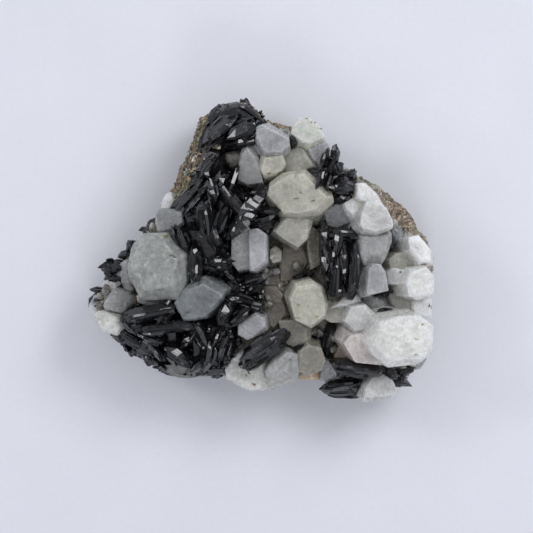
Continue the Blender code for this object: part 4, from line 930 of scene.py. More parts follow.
def quartz_group(name, node, rows, seed, crust, sizes, materials):
    """One group of quartz crystals, with the crust and the small crystals at its foot."""
    rng = random.Random(seed)
    bodies = []
    for row, (label, shape) in enumerate(rows.items()):
        bodies.append(quartz_crystal(row + seed, label, shape, sizes))
    crust_tint = linear(QUARTZ_KINDS["smoky"][0])
    tree = surface_of(bodies + [crust_body(crust, seed, crust_tint)])

    def blocked(x, y):
        return any(inside(x, y, outline) for _, _, outline in MAIN_MASSES)

    bodies += gap_crystals(rng, crust, tree, sizes.gap_crystals, blocked)
    bodies += rim_crystals(rng, crust, sizes, blocked)
    bodies.insert(0, crust_body(crust, seed, crust_tint))
    thing = joined(name, bodies, materials)
    shade(thing, 26.0)
    return hand_in(thing, "quartz", node)


# Epidote

class Shells:
    """Closed shells gathered for one mesh, with each corner's colour and place in its crystal."""

    def __init__(self):
        self.points = []
        self.faces = []
        self.lies = []
        self.tints = []
        self.slots = []

    def add(self, local, faces, turn, origin, tint, shift, slot=0):
        first = len(self.points)
        self.points += [(origin + turn @ point) * MM for point in local]
        moved = Vector((shift, 0.7 * shift, 0.3 * shift))
        for face in faces:
            self.faces.append([first + k for k in face])
            self.slots.append(slot)
            for k in face:
                self.lies += list(local[k] + moved)
                self.tints += [*tint, 1.0]

    def add_body(self, body, turn, origin, tint, shift, slot=0):
        body.verts.index_update()
        back = turn.transposed()
        local = [back @ (vertex.co / MM - origin) for vertex in body.verts]
        faces = [[vertex.index for vertex in face.verts] for face in body.faces]
        body.free()
        self.add(local, faces, turn, origin, tint, shift, slot)

    def make(self, name, materials):
        mesh = bpy.data.meshes.new(name)
        mesh.from_pydata(self.points, [], self.faces)
        tint = mesh.attributes.new("tint", "FLOAT_COLOR", "CORNER")
        tint.data.foreach_set("color", self.tints)
        lie = mesh.attributes.new("lie", "FLOAT_VECTOR", "CORNER")
        lie.data.foreach_set("vector", self.lies)
        for material in materials:
            mesh.materials.append(material)
        mesh.polygons.foreach_set("material_index", self.slots)
        thing = bpy.data.objects.new(name, mesh)
        bpy.context.scene.collection.objects.link(thing)
        return thing


LATH_RINGS = 4
LATH_SIDES = 6


def lath_faces():
    faces = []
    for ring in range(LATH_RINGS - 1):
        for k in range(LATH_SIDES):
            after = (k + 1) % LATH_SIDES
            start = ring * LATH_SIDES
            faces.append((start + k, start + LATH_SIDES + k, start + LATH_SIDES + after, start + after))
    faces.append(tuple(range(LATH_SIDES)))
    faces.append(tuple(reversed(range((LATH_RINGS - 1) * LATH_SIDES, LATH_RINGS * LATH_SIDES))))
    return faces


LATH_FACES = lath_faces()


def lath(rng, length, width, thickness):
    """Points of a thin six-sided crystal along X, with its flat face at the level z = 0."""
    half = width / 2
    flat = half * rng.uniform(0.6, 0.88)
    section = (
        (-half, -0.5), (-flat, 0.0), (flat, 0.0), (half, -0.5), (flat, -1.0), (-flat, -1.0),
    )
    tips = [rng.uniform(0.25, 0.7) for _ in range(2)]
    slants = [rng.uniform(-0.9, 0.9) for _ in range(2)]
    chamfers = [min(length * 0.3, width * rng.uniform(0.5, 1.6)) for _ in range(2)]
    drops = [thickness * rng.uniform(0.2, 0.6) for _ in range(2)]
    stations = (
        (-length / 2, tips[0], slants[0], drops[0]),
        (-length / 2 + chamfers[0], 1.0, slants[0] * 0.6, 0.0),
        (length / 2 - chamfers[1], 1.0, slants[1] * 0.6, 0.0),
        (length / 2, tips[1], slants[1], drops[1]),
    )
    points = []
    for x, share, slant, drop in stations:
        for y, level in section:
            z = level * thickness * (0.7 if share < 1.0 else 1.0) - drop
            points.append(Vector((x + slant * y, y * share, max(z, -thickness))))
    return points


def blade_frame(place):
    """A blade's middle point and its turn."""
    x, y, top, length, width, thickness, heading, pitch, roll = place
    centre = Vector((x, y, top + DATUM - 0.5 * thickness))
    turn = Euler((math.radians(roll), math.radians(-pitch), math.radians(heading)), "XYZ").to_matrix()
    return centre, turn


def section_chain(width, thickness):
    """The blade's six-sided section as corners (y, z), all the way round from its left edge."""
    fall = math.tan(math.radians(EDGE_SLANT))
    high = min(thickness / 2, width / 2 / fall)
    flat = max(width / 2 - fall * high, 0.0)
    return ((-width / 2, 0.0), (-flat, high), (flat, high), (width / 2, 0.0), (flat, -high), (-flat, -high))


def striated_blade(shells, rng, row, place, tint, spacing, slot=0):
    """A large blade: its body, and thin parallel crystals grown along all its sides."""
    x, y, top, length, width, thickness, heading, pitch, roll = place
    centre, turn = blade_frame(place)
    shift = 11.0 * row
    core = worn(blade(row, place, -0.12), 0.2, 0.1)
    shells.add_body(core, turn, centre, tint, shift, slot)
    chain = section_chain(width, thickness)
    for k, (a, b) in enumerate(zip(chain, chain[1:] + chain[:1])):
        a = Vector((0.0, *a))
        b = Vector((0.0, *b))
        run = (b - a).length
        if run < 0.4:
            continue
        across = (b - a).normalized()
        out = Vector((1.0, 0.0, 0.0)).cross(across)
        if out.dot((a + b) / 2) < 0:
            out = -out
        lower = k >= 3
        count = max(1, round(run / (spacing * (1.8 if lower else 1.0))))
        for step in range(count):
            wide = run / count * rng.uniform(1.0, 1.5)
            share = (step + 0.5 + rng.uniform(-0.2, 0.2)) / count
            grown = rng.uniform(-0.12, 0.26) * min(1.0, width / 3.0)
            part = rng.uniform(0.5, 1.0)
            slip = rng.uniform(-0.5, 0.5) * (1.0 - part) * length
            spot = a.lerp(b, share) + out * grown + Vector((slip, 0.0, 0.0))
            own = Matrix((Vector((1, 0, 0)), out.cross(Vector((1, 0, 0))), out)).transposed()
            sway = Euler((rng.gauss(0, 0.05), rng.gauss(0, 0.02), rng.gauss(0, 0.02))).to_matrix()
            depth = min(1.3, 0.45 * min(width, thickness))
            points = [spot + own @ sway @ point for point in lath(rng, part * length * 0.98, wide, depth)]
            shade_of = rng.uniform(0.75, 1.25)
            shells.add(points, LATH_FACES, turn, centre, [c * shade_of for c in tint], shift + step, slot)


# Wall blades are shorter above the rock's ledge at the upper left, which stays in sight
DRUSE_LOW = 8.0
DRUSE_HIGH = 31.0
LEDGE_SIDE_X = -7.0
LEDGE_SIDE_Y = 11.0
LEDGE_BLADE_SIZE = 0.22
WALL_BLADE_SIZE = 0.85


def wall_druse(shells, rng, bodies, count, tint, low):
    """Small blades that bristle from the walls of the masses, where no large blade covers them."""
    tree = surface_of(bodies)
    triangles = []
    weights = []
    for body in bodies:
        for face in body.faces:
            if face.normal.z < -0.5:
                continue
            triangles.append((face.calc_center_median(), face.normal.copy(), [v.co.copy() for v in face.verts]))
            weights.append(face.calc_area())
    for centre, normal, corners in rng.choices(triangles, weights, k=count):
        k = rng.randrange(len(corners))
        s, t = sorted((rng.random(), rng.random()))
        spot = corners[k] * s + corners[(k + 1) % len(corners)] * (t - s) + centre * (1 - t)
        if spot.z < low * MM:
            continue
        clear = tree.ray_cast(spot + normal * 0.02 * MM, normal, 3.0 * MM)
        if clear[0] is not None:
            continue
        over_ledge = spot.x < LEDGE_SIDE_X * MM and spot.y > LEDGE_SIDE_Y * MM and normal.x < -0.2
        size = LEDGE_BLADE_SIZE if over_ledge else WALL_BLADE_SIZE
        axis = normal * rng.uniform(0.0, 0.3) + UP * rng.uniform(-0.2, 1.0)
        axis += Vector((rng.gauss(0, 0.45), rng.gauss(0, 0.45), rng.gauss(0, 0.3)))
        axis -= normal * min(0.0, axis.dot(normal))
        axis.normalize()
        side = axis.cross(normal)
        if side.length < 0.2:
            side = axis.cross(Vector((rng.gauss(0, 1), rng.gauss(0, 1), rng.gauss(0, 1))))
        side.normalize()
        turn = Matrix((axis, side, axis.cross(side))).transposed()
        if turn.col[2].dot(normal) < 0:
            turn = Matrix((axis, -side, axis.cross(-side))).transposed()
        length = rng.uniform(1.6, 3.8) * size
        width = rng.uniform(0.9, 2.2) * size
        origin = spot / MM + axis * length * 0.18 + turn.col[2] * rng.uniform(0.0, 0.4)
        if origin.z > DRUSE_HIGH:
            continue
        shade_of = rng.uniform(0.7, 1.4)
        for step in range(rng.choice((1, 2, 3))):
            offset = Vector((rng.uniform(-0.3, 0.3), (step - 1) * width * 0.45, rng.uniform(-0.2, 0.2)))
            points = [offset + point for point in lath(rng, length * rng.uniform(0.7, 1), width * 0.7, 0.9 * width)]
            shells.add(points, LATH_FACES, turn, origin, [c * shade_of for c in tint], rng.uniform(0, 99))


# Small flat crystals whose faces all lean the same way, towards the light, and gleam:
# x, y, length, width, heading
GLEAMING_CRYSTALS = {
    "epidote_main_mass": (
        # The feathered blade: short crystals one behind another
        (-0.9, 13.0, 2.4, 1.9, 46), (-2.1, 12.0, 2.8, 2.6, 50), (-3.3, 10.9, 2.8, 2.4, 54),
        (-3.0, 9.0, 2.6, 2.2, 48), (-4.2, 7.8, 3.0, 2.6, 52), (-5.3, 6.6, 2.8, 2.2, 50),
        (-6.5, 5.4, 2.4, 1.4, 56),
        # By itself above the feathered blade
        (-6.7, 18.5, 4.6, 0.7, 68),
        # Upper part of the band
        (-16.8, 19.6, 1.6, 1.0, 20), (-13.6, 19.3, 1.4, 1.2, 100), (-19.0, 17.5, 1.2, 0.6, 60),
        (-12.2, 14.7, 1.8, 0.8, 110), (-11.0, 13.2, 1.2, 1.0, 80), (-5.3, 27.3, 2.0, 0.9, 15),
        (-9.9, 17.8, 1.6, 1.1, 70),
        # Middle
        (-16.5, 0.3, 1.6, 1.0, 110), (-16.2, -4.5, 2.8, 0.6, 85), (-11.0, -2.2, 2.4, 0.8, 5),
        (-8.8, -14.3, 2.4, 1.5, 60), (-7.3, -11.7, 1.6, 0.9, 140),
        # Lower left
        (-21.1, -24.9, 3.2, 1.9, -35), (-18.5, -21.8, 1.3, 1.0, 30), (-30.0, -15.6, 3.4, 0.6, 12),
        (-33.2, -17.7, 1.7, 1.0, -50), (-11.1, -20.9, 2.0, 0.5, 65), (-22.0, -27.0, 2.2, 0.6, -45),
        (-13.1, -19.2, 0.7, 0.6, 0),
    ),
    "epidote_right_spray": (
        (18.4, 3.4, 2.2, 1.0, 80), (15.4, 4.3, 1.8, 1.3, 85), (15.9, 1.0, 3.0, 1.7, 86),
        (15.6, -2.0, 2.8, 1.5, 88), (17.6, -0.6, 1.8, 0.6, 80), (20.2, -1.1, 1.4, 0.9, 80),
        (20.3, -4.8, 1.6, 0.8, 84), (18.5, -3.7, 0.8, 0.6, 0), (19.2, -9.6, 1.2, 0.6, 60),
    ),
    "epidote_upper_right_cluster": (
        (15.3, 23.3, 2.0, 0.6, 70), (15.0, 19.0, 2.2, 0.6, 75), (19.9, 13.5, 1.3, 1.0, 40),
        (18.3, 16.1, 0.8, 0.6, 0),
    ),
}
# The way those faces lean: azimuth and slope in degrees, and how much each one strays
GLEAM_AZIMUTH = 44.0
GLEAM_SLOPE = 20.0
GLEAM_STRAY = 0.05
GLEAM_THICKNESS = 1.8
GLEAM_HIGH = 34.6
# A lath is this much larger than the flat face that its bevelled ends leave
GLEAM_STRETCH = 1.4


def gleaming_crystals(shells, rng, rows, tint):
    """Small flat crystals grown out of a piece's surface, all at the same slope."""
    tree = BVHTree.FromPolygons(shells.points, shells.faces)
    for x, y, length, width, heading in rows:
        spot, _ = drop_point(tree, x, y)
        if spot is None:
            continue
        normal = facing(GLEAM_AZIMUTH, GLEAM_SLOPE)
        normal += Vector((rng.gauss(0, GLEAM_STRAY), rng.gauss(0, GLEAM_STRAY), 0.0))
        normal.normalize()
        along = Vector((math.cos(math.radians(heading)), math.sin(math.radians(heading)), 0.0))
        side = normal.cross(along).normalized()
        turn = Matrix((side.cross(normal), side, normal)).transposed()
        origin = spot + UP * min(1.1, 0.45 * width + 0.15)
        origin.z = min(origin.z, GLEAM_HIGH)
        points = lath(rng, GLEAM_STRETCH * length, GLEAM_STRETCH * width, GLEAM_THICKNESS)
        shells.add(points, LATH_FACES, turn, origin, tint, rng.uniform(0, 99))


# Host rock

# Colours that the rock takes near a place: x, y, how far it reaches, colour
ROCK_PATCHES = (
    (-20.0, 25.0, 7.0, (150, 128, 104)),
    (-22.5, 16.0, 6.0, (136, 122, 92)),
    (-16.0, 32.5, 5.0, (128, 128, 96)),
    (-7.0, 37.0, 5.0, (78, 82, 56)),
    (5.0, 33.0, 7.0, (150, 134, 112)),
    (26.0, 19.0, 7.0, (176, 186, 172)),
    (34.0, 13.0, 8.0, (164, 140, 122)),
    (41.0, 4.0, 7.0, (170, 164, 140)),
    (42.0, -12.0, 9.0, (188, 176, 158)),
    (40.0, -28.0, 8.0, (112, 118, 106)),
    (28.0, -36.0, 9.0, (104, 108, 98)),
    (2.0, -34.0, 9.0, (150, 144, 132)),
    (-22.0, -31.0, 10.0, (74, 80, 72)),
    (-38.0, -22.0, 9.0, (92, 98, 90)),
    (-43.0, -11.0, 7.0, (158, 158, 148)),
    (-35.0, 0.0, 7.0, (118, 112, 84)),
)
ROCK_BASE = (120, 118, 100)
GRAIN_TINTS = (
    (86, 92, 62), (120, 124, 92), (156, 128, 108), (182, 150, 132), (196, 190, 172),
    (176, 190, 176), (70, 72, 66), (52, 54, 48), (140, 138, 128), (208, 206, 198),
)


def rock_body():
    """The broken host rock, ring by ring from its flat underside to its flat top."""
    body = bmesh.new()
    outline = counter_clockwise(ROCK_OUTLINE)
    rings = []
    last = len(ROCK_RINGS) - 1
    for level, (share, height) in enumerate(ROCK_RINGS):
        ring = []
        for column, point in enumerate(outline):
            inner = 0 < level < last
            push = ROCK_PUSH * wobble(column, level + 40) if inner and share < 1.0 else 0.0
            lift = ROCK_LIFT * wobble(column // 2, level + 60) if inner else 0.0
            spot = CENTRE + (point - CENTRE) * share * (1.0 + push)
            ring.append(body.verts.new((spot.x * MM, spot.y * MM, (height + lift) * MM)))
        rings.append(ring)
    count = len(outline)
    for lower, upper in zip(rings, rings[1:]):
        for k in range(count):
            after = (k + 1) % count
            body.faces.new((lower[k], lower[after], upper[after], upper[k]))
    body.faces.new(rings[0][::-1])
    body.faces.new(rings[-1])
    bmesh.ops.triangulate(body, faces=[face for face in body.faces if len(face.verts) == 4])
    bmesh.ops.recalc_face_normals(body, faces=body.faces)
    return body


def rock_tint(spot):
    """The rock's colour at a place in mm, blended from the patches round it."""
    colour = Vector(linear(ROCK_BASE))
    total = 1.0
    colour_sum = colour * 1.0
    for x, y, reach, tint in ROCK_PATCHES:
        away = math.hypot(spot.x - x, spot.y - y) / reach
        share = 4.0 * math.exp(-away * away)
        colour_sum += Vector(linear(tint)) * share
        total += share
    return colour_sum / total


def rock_surface(sizes):
    """The host rock as one fine mesh, broken and granular all round, flat where it rests."""
    body = rock_body()
    thing = bpy.data.objects.new("host_rock_surface", mesh_from(body, "host_rock_surface"))
    bpy.context.scene.collection.objects.link(thing)
    step = thing.modifiers.new("Fine", "REMESH")
    step.mode = "VOXEL"
    step.voxel_size = sizes.rock_step
    graph = bpy.context.evaluated_depsgraph_get()
    fine = bpy.data.meshes.new_from_object(thing.evaluated_get(graph))
    thing.modifiers.clear()
    spent = thing.data
    thing.data = fine
    bpy.data.meshes.remove(spent)
    fine.name = "host_rock_surface"
    body = bmesh.new()
    body.from_mesh(fine)
    body.normal_update()
    colour = body.verts.layers.float_color.new("tint")
    for vertex in body.verts:
        spot = vertex.co / MM
        lumps = noise.noise(spot * 0.28)
        ledges = abs(noise.noise(Vector((spot.x * 0.5, spot.y * 0.5, spot.z * 1.1))))
        cells, _ = noise.voronoi(spot * 0.95)
        grit = noise.noise(spot * 2.6)
        push = 0.75 * lumps - 0.9 * ledges + 0.55 * (0.5 - cells[0]) + 0.22 * grit
        if vertex.normal.z < -0.6 and spot.z < 1.2:
            pit = max(0.0, 0.8 * noise.noise(spot * 0.3) + 0.35 * noise.noise(spot * 1.4) - 0.05)
            vertex.co.z = pit * MM
        else:
            vertex.co += vertex.normal * push * MM
            vertex.co.z = max(vertex.co.z, 0.0)
        vertex[colour] = (*rock_tint(spot), 1.0)
    body.to_mesh(fine)
    body.free()
    fine.shade_smooth()
    fine.materials.append(rock_material())
    return hand_in(thing, "host_rock", "host_rock")


def grain_points(rng):
    """Corners of one angular grain, about 1 mm across."""
    points = []
    for _ in range(9):
        point = Vector((rng.gauss(0, 1), rng.gauss(0, 1), rng.gauss(0, 1))).normalized()
        points.append(point * rng.uniform(0.38, 0.55))
    return points


def grain_shapes(rng, count):
    """Several angular grains as points and faces, for use over and over."""
    shapes = []
    for _ in range(count):
        skin = bmesh.new()
        for point in grain_points(rng):
            skin.verts.new(point)
        made = bmesh.ops.convex_hull(skin, input=skin.verts)
        spare = {p for p in made["geom_interior"] + made["geom_unused"] if isinstance(p, bmesh.types.BMVert)}
        bmesh.ops.delete(skin, geom=list(spare), context="VERTS")
        skin.verts.index_update()
        points = [vertex.co.copy() for vertex in skin.verts]
        faces = [[vertex.index for vertex in face.verts] for face in skin.faces]
        skin.free()
        shapes.append((points, faces))
    return shapes


# Rock that still clings to the band's outer wall: how many grains, and above which Y the top counts
CLINGING_GRAINS = 4200
CLINGING_TOP_Y = 33.5


def clinging_grains(shells, rng, shapes):
    """A skin of rock grains on the band's outer wall at the upper left and the top."""
    walls = []
    for body in masses(MAIN_MASSES, EPIDOTE_FOOT):
        for face in body.faces:
            middle = face.calc_center_median() / MM
            leftward = middle.x < LEDGE_SIDE_X and middle.y > LEDGE_SIDE_Y and face.normal.x < -0.2
            upward = middle.y > CLINGING_TOP_Y and face.normal.y > 0.2
            if (leftward or upward) and abs(face.normal.z) < 0.85:
                corners = [vertex.co / MM for vertex in face.verts]
                walls.append((corners, face.normal.copy(), face.calc_area()))
        body.free()
    if not walls:
        return
    for corners, normal, _ in rng.choices(walls, [wall[2] for wall in walls], k=CLINGING_GRAINS):
        k = rng.randrange(1, len(corners) - 1)
        u, v = sorted((rng.random(), rng.random()))
        spot = corners[0] * u + corners[k] * (v - u) + corners[k + 1] * (1 - v)
        points, faces = rng.choice(shapes)
        turn = Euler([rng.uniform(0, 6.28) for _ in range(3)]).to_matrix()
        size = 0.8 + 0.8 * rng.random() ** 2
        if rng.random() < 0.6:
            tint = rock_tint(spot) * rng.uniform(0.5, 1.5)
        else:
            tint = Vector(linear(rng.choice(GRAIN_TINTS)))
        origin = spot + normal * rng.uniform(-0.1, 0.3) * size
        shells.add([point * size for point in points], faces, turn, origin, tint, rng.uniform(0, 99))


def rock_grains(sizes):
    """Mineral grains that stand out of the rock's broken sides."""
    rng = random.Random(77)
    shapes = grain_shapes(rng, 24)
    surface = bpy.data.objects["host_rock_surface"].data
    shells = Shells()
    polygons = [face for face in surface.polygons if face.normal.z > -0.75]
    picked = rng.choices(polygons, [face.area for face in polygons], k=sizes.rock_grains)
    for face in picked:
        spot = face.center / MM
        inner = CENTRE + (spot - CENTRE) * 1.16
        if inside(inner.x, inner.y, ROCK_OUTLINE) and spot.z > 10.0:
            continue
        points, faces = rng.choice(shapes)
        turn = Euler([rng.uniform(0, 6.28) for _ in range(3)]).to_matrix()
        size = 0.35 + 0.8 * rng.random() ** 3
        if rng.random() < 0.5:
            tint = rock_tint(spot) * rng.uniform(0.5, 1.5)
        else:
            tint = Vector(linear(rng.choice(GRAIN_TINTS)))
        origin = spot + face.normal * rng.uniform(-0.05, 0.18) * size
        origin.z = max(origin.z, 0.5 * size)
        shells.add([point * size for point in points], faces, turn, origin, tint, rng.uniform(0, 99))
    clinging_grains(shells, rng, shapes)
    thing = shells.make("host_rock_grains", [grain_material()])
    return hand_in(thing, "host_rock")


# Small epidote needles and specks in and on the quartz: x, y, length, width, heading, colour
OLIVE = (112, 118, 52)
DARK_OLIVE = (70, 72, 38)
RUST = (112, 88, 62)
BLACKISH = (26, 26, 22)
NEEDLES = (
    (8.9, 13.3, 2.0, 0.35, 4, DARK_OLIVE), (9.6, 14.6, 1.0, 0.3, 110, BLACKISH),
    (12.6, 12.4, 1.4, 0.5, 20, DARK_OLIVE), (10.8, 22.2, 0.9, 0.5, 10, OLIVE),
    (11.0, 33.0, 0.8, 0.5, 0, BLACKISH), (12.2, 32.2, 0.7, 0.6, 50, RUST),
    (13.0, 31.8, 0.6, 0.5, 20, BLACKISH), (14.3, 30.4, 0.7, 0.6, 80, RUST),
    (9.2, -13.2, 1.2, 0.4, 10, OLIVE), (9.2, -16.5, 2.6, 0.3, -6, OLIVE),
    (7.6, -15.6, 2.2, 0.3, 50, DARK_OLIVE), (6.9, -16.9, 1.6, 0.3, 105, DARK_OLIVE),
    (6.0, -16.2, 1.0, 0.3, 60, OLIVE), (11.6, -13.6, 0.8, 0.4, 60, OLIVE),
    (7.2, -19.4, 0.8, 0.4, 20, OLIVE), (39.4, -17.6, 1.2, 0.5, 30, OLIVE),
    (38.2, -21.4, 1.4, 0.4, -20, OLIVE), (38.0, -25.4, 1.3, 0.4, 10, OLIVE),
    (40.0, -3.2, 1.6, 0.9, 20, RUST), (41.7, -13.8, 1.0, 0.9, 60, DARK_OLIVE),
    (34.4, -5.4, 0.9, 0.8, 0, BLACKISH), (-21.9, -1.4, 1.8, 1.0, -20, DARK_OLIVE),
    (-23.6, 3.8, 2.4, 0.7, -4, OLIVE), (-2.2, -33.2, 2.4, 0.9, -30, RUST),
    (-3.8, -30.4, 1.2, 0.9, -40, DARK_OLIVE), (-5.4, -29.0, 0.8, 0.6, 20, BLACKISH),
    (7.0, -27.0, 1.0, 0.6, 10, DARK_OLIVE), (-18.4, -14.8, 1.4, 0.8, 10, DARK_OLIVE),
    (-34.0, -9.6, 1.0, 0.7, 20, DARK_OLIVE), (-33.6, -5.2, 1.2, 0.7, 70, RUST),
    (-41.0, -14.2, 1.2, 0.9, 10, RUST), (1.6, 19.2, 1.4, 0.8, 10, RUST),
    (4.6, 19.8, 2.2, 0.6, 6, DARK_OLIVE), (8.4, 18.6, 0.8, 0.4, 50, OLIVE),
    (13.6, -16.0, 1.0, 0.3, -20, OLIVE), (24.0, 4.6, 0.8, 0.5, 0, BLACKISH),
    (36.6, 6.0, 1.6, 1.0, 70, BLACKISH), (42.4, -4.4, 1.4, 0.7, 85, DARK_OLIVE),
)


def needles(sizes):
    """Tiny epidote needles and stains of rust on the quartz crystals."""
    rng = random.Random(31)
    quartz = [bpy.data.objects[name] for name in ("quartz_main_crystals", "quartz_left_crystals")]
    bodies = []
    for thing in quartz:
        body = bmesh.new()
        body.from_mesh(thing.data)
        bodies.append(body)
    tree = surface_of(bodies)
    for body in bodies:
        body.free()
    shells = Shells()
    for row, (x, y, length, width, heading, colour) in enumerate(NEEDLES):
        spot, normal = drop_point(tree, x, y)
        if spot is None:
            continue
        along = Vector((math.cos(math.radians(heading)), math.sin(math.radians(heading)), 0.0))
        side = normal.cross(along).normalized()
        turn = Matrix((side.cross(normal), side, normal)).transposed()
        for part in range(3):
            share = 1.0 if part == 0 else rng.uniform(0.3, 0.7)
            slip = Vector((rng.uniform(-0.3, 0.3) * length, rng.uniform(-0.6, 0.6) * width, 0.06))
            points = [slip + point for point in lath(rng, 0.7 * length * share, 0.5 * width * share, 0.2)]
            shells.add(points, LATH_FACES, turn, spot, linear(colour), 5.0 * row + part)
    thing = shells.make("quartz_inclusions", [epidote_material()])
    return hand_in(thing, "epidote")


# Materials

def new_node(tree, kind, values=None, **settings):
    node = tree.nodes.new(kind)
    for key, value in settings.items():
        setattr(node, key, value)
    for key, value in (values or {}).items():
        if isinstance(value, bpy.types.NodeSocket):
            tree.links.new(value, node.inputs[key])
        else:
            node.inputs[key].default_value = value
    return node


def math_node(tree, operation, first, second):
    return new_node(tree, "ShaderNodeMath", {0: first, 1: second}, operation=operation).outputs[0]


def spread(tree, value, low, high, to_low, to_high):
    values = {"Value": value, "From Min": low, "From Max": high, "To Min": to_low, "To Max": to_high}
    return new_node(tree, "ShaderNodeMapRange", values).outputs["Result"]


def noise_node(tree, place, scale, detail, distortion=0.0):
    values = {"Vector": place, "Scale": scale, "Detail": detail, "Roughness": 0.6, "Distortion": distortion}
    return new_node(tree, "ShaderNodeTexNoise", values).outputs["Fac"]


def stretched(tree, place, scale):
    return new_node(tree, "ShaderNodeVectorMath", {0: place, 1: scale}, operation="MULTIPLY").outputs[0]


def scaled_colour(tree, colour, amount):
    node = new_node(tree, "ShaderNodeVectorMath", {0: colour}, operation="SCALE")
    tree.links.new(amount, node.inputs["Scale"])
    return node.outputs[0]


def blended(tree, share, first, second):
    values = {"Factor": share, 6: first, 7: second}
    return new_node(tree, "ShaderNodeMix", values, data_type="RGBA").outputs[2]


def new_group(name, inputs, outputs):
    group = bpy.data.node_groups.new(name, "ShaderNodeTree")
    for label, kind in inputs:
        group.interface.new_socket(label, in_out="INPUT", socket_type=kind)
    for label, kind in outputs:
        group.interface.new_socket(label, in_out="OUTPUT", socket_type=kind)
    start = group.nodes.new("NodeGroupInput")
    end = group.nodes.new("NodeGroupOutput")
    return group, start, end


FINISH_OUTPUTS = (("Colour", "NodeSocketColor"), ("Roughness", "NodeSocketFloat"), ("Height", "NodeSocketFloat"))
FINISH_INPUTS = (("Tint", "NodeSocketColor"), ("Place", "NodeSocketVector"), ("Strength", "NodeSocketFloat"))


def clouds_group():
    """Milky clouds, healed cracks and etched patches in quartz."""
    found = bpy.data.node_groups.get("Quartz clouds")
    if found:
        return found
    group, start, end = new_group("Quartz clouds", FINISH_INPUTS, FINISH_OUTPUTS)
    place = start.outputs["Place"]
    slow = noise_node(group, place, 0.17, 4.0, 0.9)
    patch = noise_node(group, place, 0.9, 4.0, 0.4)
    fine = noise_node(group, place, 4.5, 3.0)
    streak = noise_node(group, stretched(group, place, (0.5, 0.5, 2.4)), 1.6, 2.0)
    warp = new_node(group, "ShaderNodeTexNoise", {"Vector": place, "Scale": 0.5, "Detail": 2.0})
    bent = new_node(group, "ShaderNodeMix", {"Factor": 0.25, 4: place, 5: warp.outputs["Color"]}, data_type="VECTOR")
    cracks = new_node(
        group, "ShaderNodeTexVoronoi", {"Vector": bent.outputs[1], "Scale": 0.32}, feature="DISTANCE_TO_EDGE"
    )
    crack = spread(group, cracks.outputs["Distance"], 0.0, 0.11, 1.0, 0.0)
    milk = spread(group, slow, 0.34, 0.66, 0.80, 1.12)
    mottle = spread(group, patch, 0.3, 0.7, 0.88, 1.07)
    body = math_node(group, "MULTIPLY", milk, mottle)
    veil = math_node(group, "MULTIPLY", crack, spread(group, patch, 0.4, 0.6, 0.0, 0.14))
    amount = math_node(group, "ADD", body, math_node(group, "MULTIPLY", veil, start.outputs["Strength"]))
    group.links.new(scaled_colour(group, start.outputs["Tint"], amount), end.inputs["Colour"])
    etched = spread(group, patch, 0.42, 0.66, 0.20, 0.34)
    group.links.new(math_node(group, "ADD", etched, spread(group, fine, 0.3, 0.7, -0.03, 0.06)), end.inputs["Roughness"])
    broad = noise_node(group, place, 0.4, 3.0, 0.5)
    relief = math_node(group, "ADD", math_node(group, "MULTIPLY", patch, 0.4), math_node(group, "MULTIPLY", fine, 0.03))
    relief = math_node(group, "ADD", relief, math_node(group, "MULTIPLY", streak, 0.16))
    relief = math_node(group, "ADD", relief, math_node(group, "MULTIPLY", broad, 2.2))
    group.links.new(relief, end.inputs["Height"])
    return group


def striations_group():
    """Fine grooves along a crystal's length, with duller and greener stretches."""
    found = bpy.data.node_groups.get("Striations")
    if found:
        return found
    group, start, end = new_group("Striations", FINISH_INPUTS, FINISH_OUTPUTS)
    place = start.outputs["Place"]
    coarse = noise_node(group, stretched(group, place, (0.10, 2.2, 2.2)), 1.0, 3.0)
    fine = noise_node(group, stretched(group, place, (0.22, 7.0, 7.0)), 1.0, 2.0)
    patch = noise_node(group, place, 0.5, 3.0, 0.3)
    pits = noise_node(group, place, 3.2, 2.0)
    dull = spread(group, patch, 0.45, 0.65, 0.0, 1.0)
    streak = spread(group, coarse, 0.3, 0.7, 0.7, 1.4)
    plain = scaled_colour(group, start.outputs["Tint"], streak)
    green = scaled_colour(group, start.outputs["Tint"], spread(group, fine, 0.3, 0.7, 1.1, 1.9))
    share = math_node(group, "MULTIPLY", dull, start.outputs["Strength"])
    group.links.new(blended(group, share, plain, green), end.inputs["Colour"])
    gloss = spread(group, coarse, 0.3, 0.7, 0.09, 0.22)
    group.links.new(math_node(group, "ADD", gloss, math_node(group, "MULTIPLY", dull, 0.14)), end.inputs["Roughness"])
    relief = math_node(group, "ADD", math_node(group, "MULTIPLY", coarse, 0.7), math_node(group, "MULTIPLY", fine, 0.3))
    relief = math_node(group, "ADD", relief, math_node(group, "MULTIPLY", pits, 0.15))
    group.links.new(relief, end.inputs["Height"])
    return group


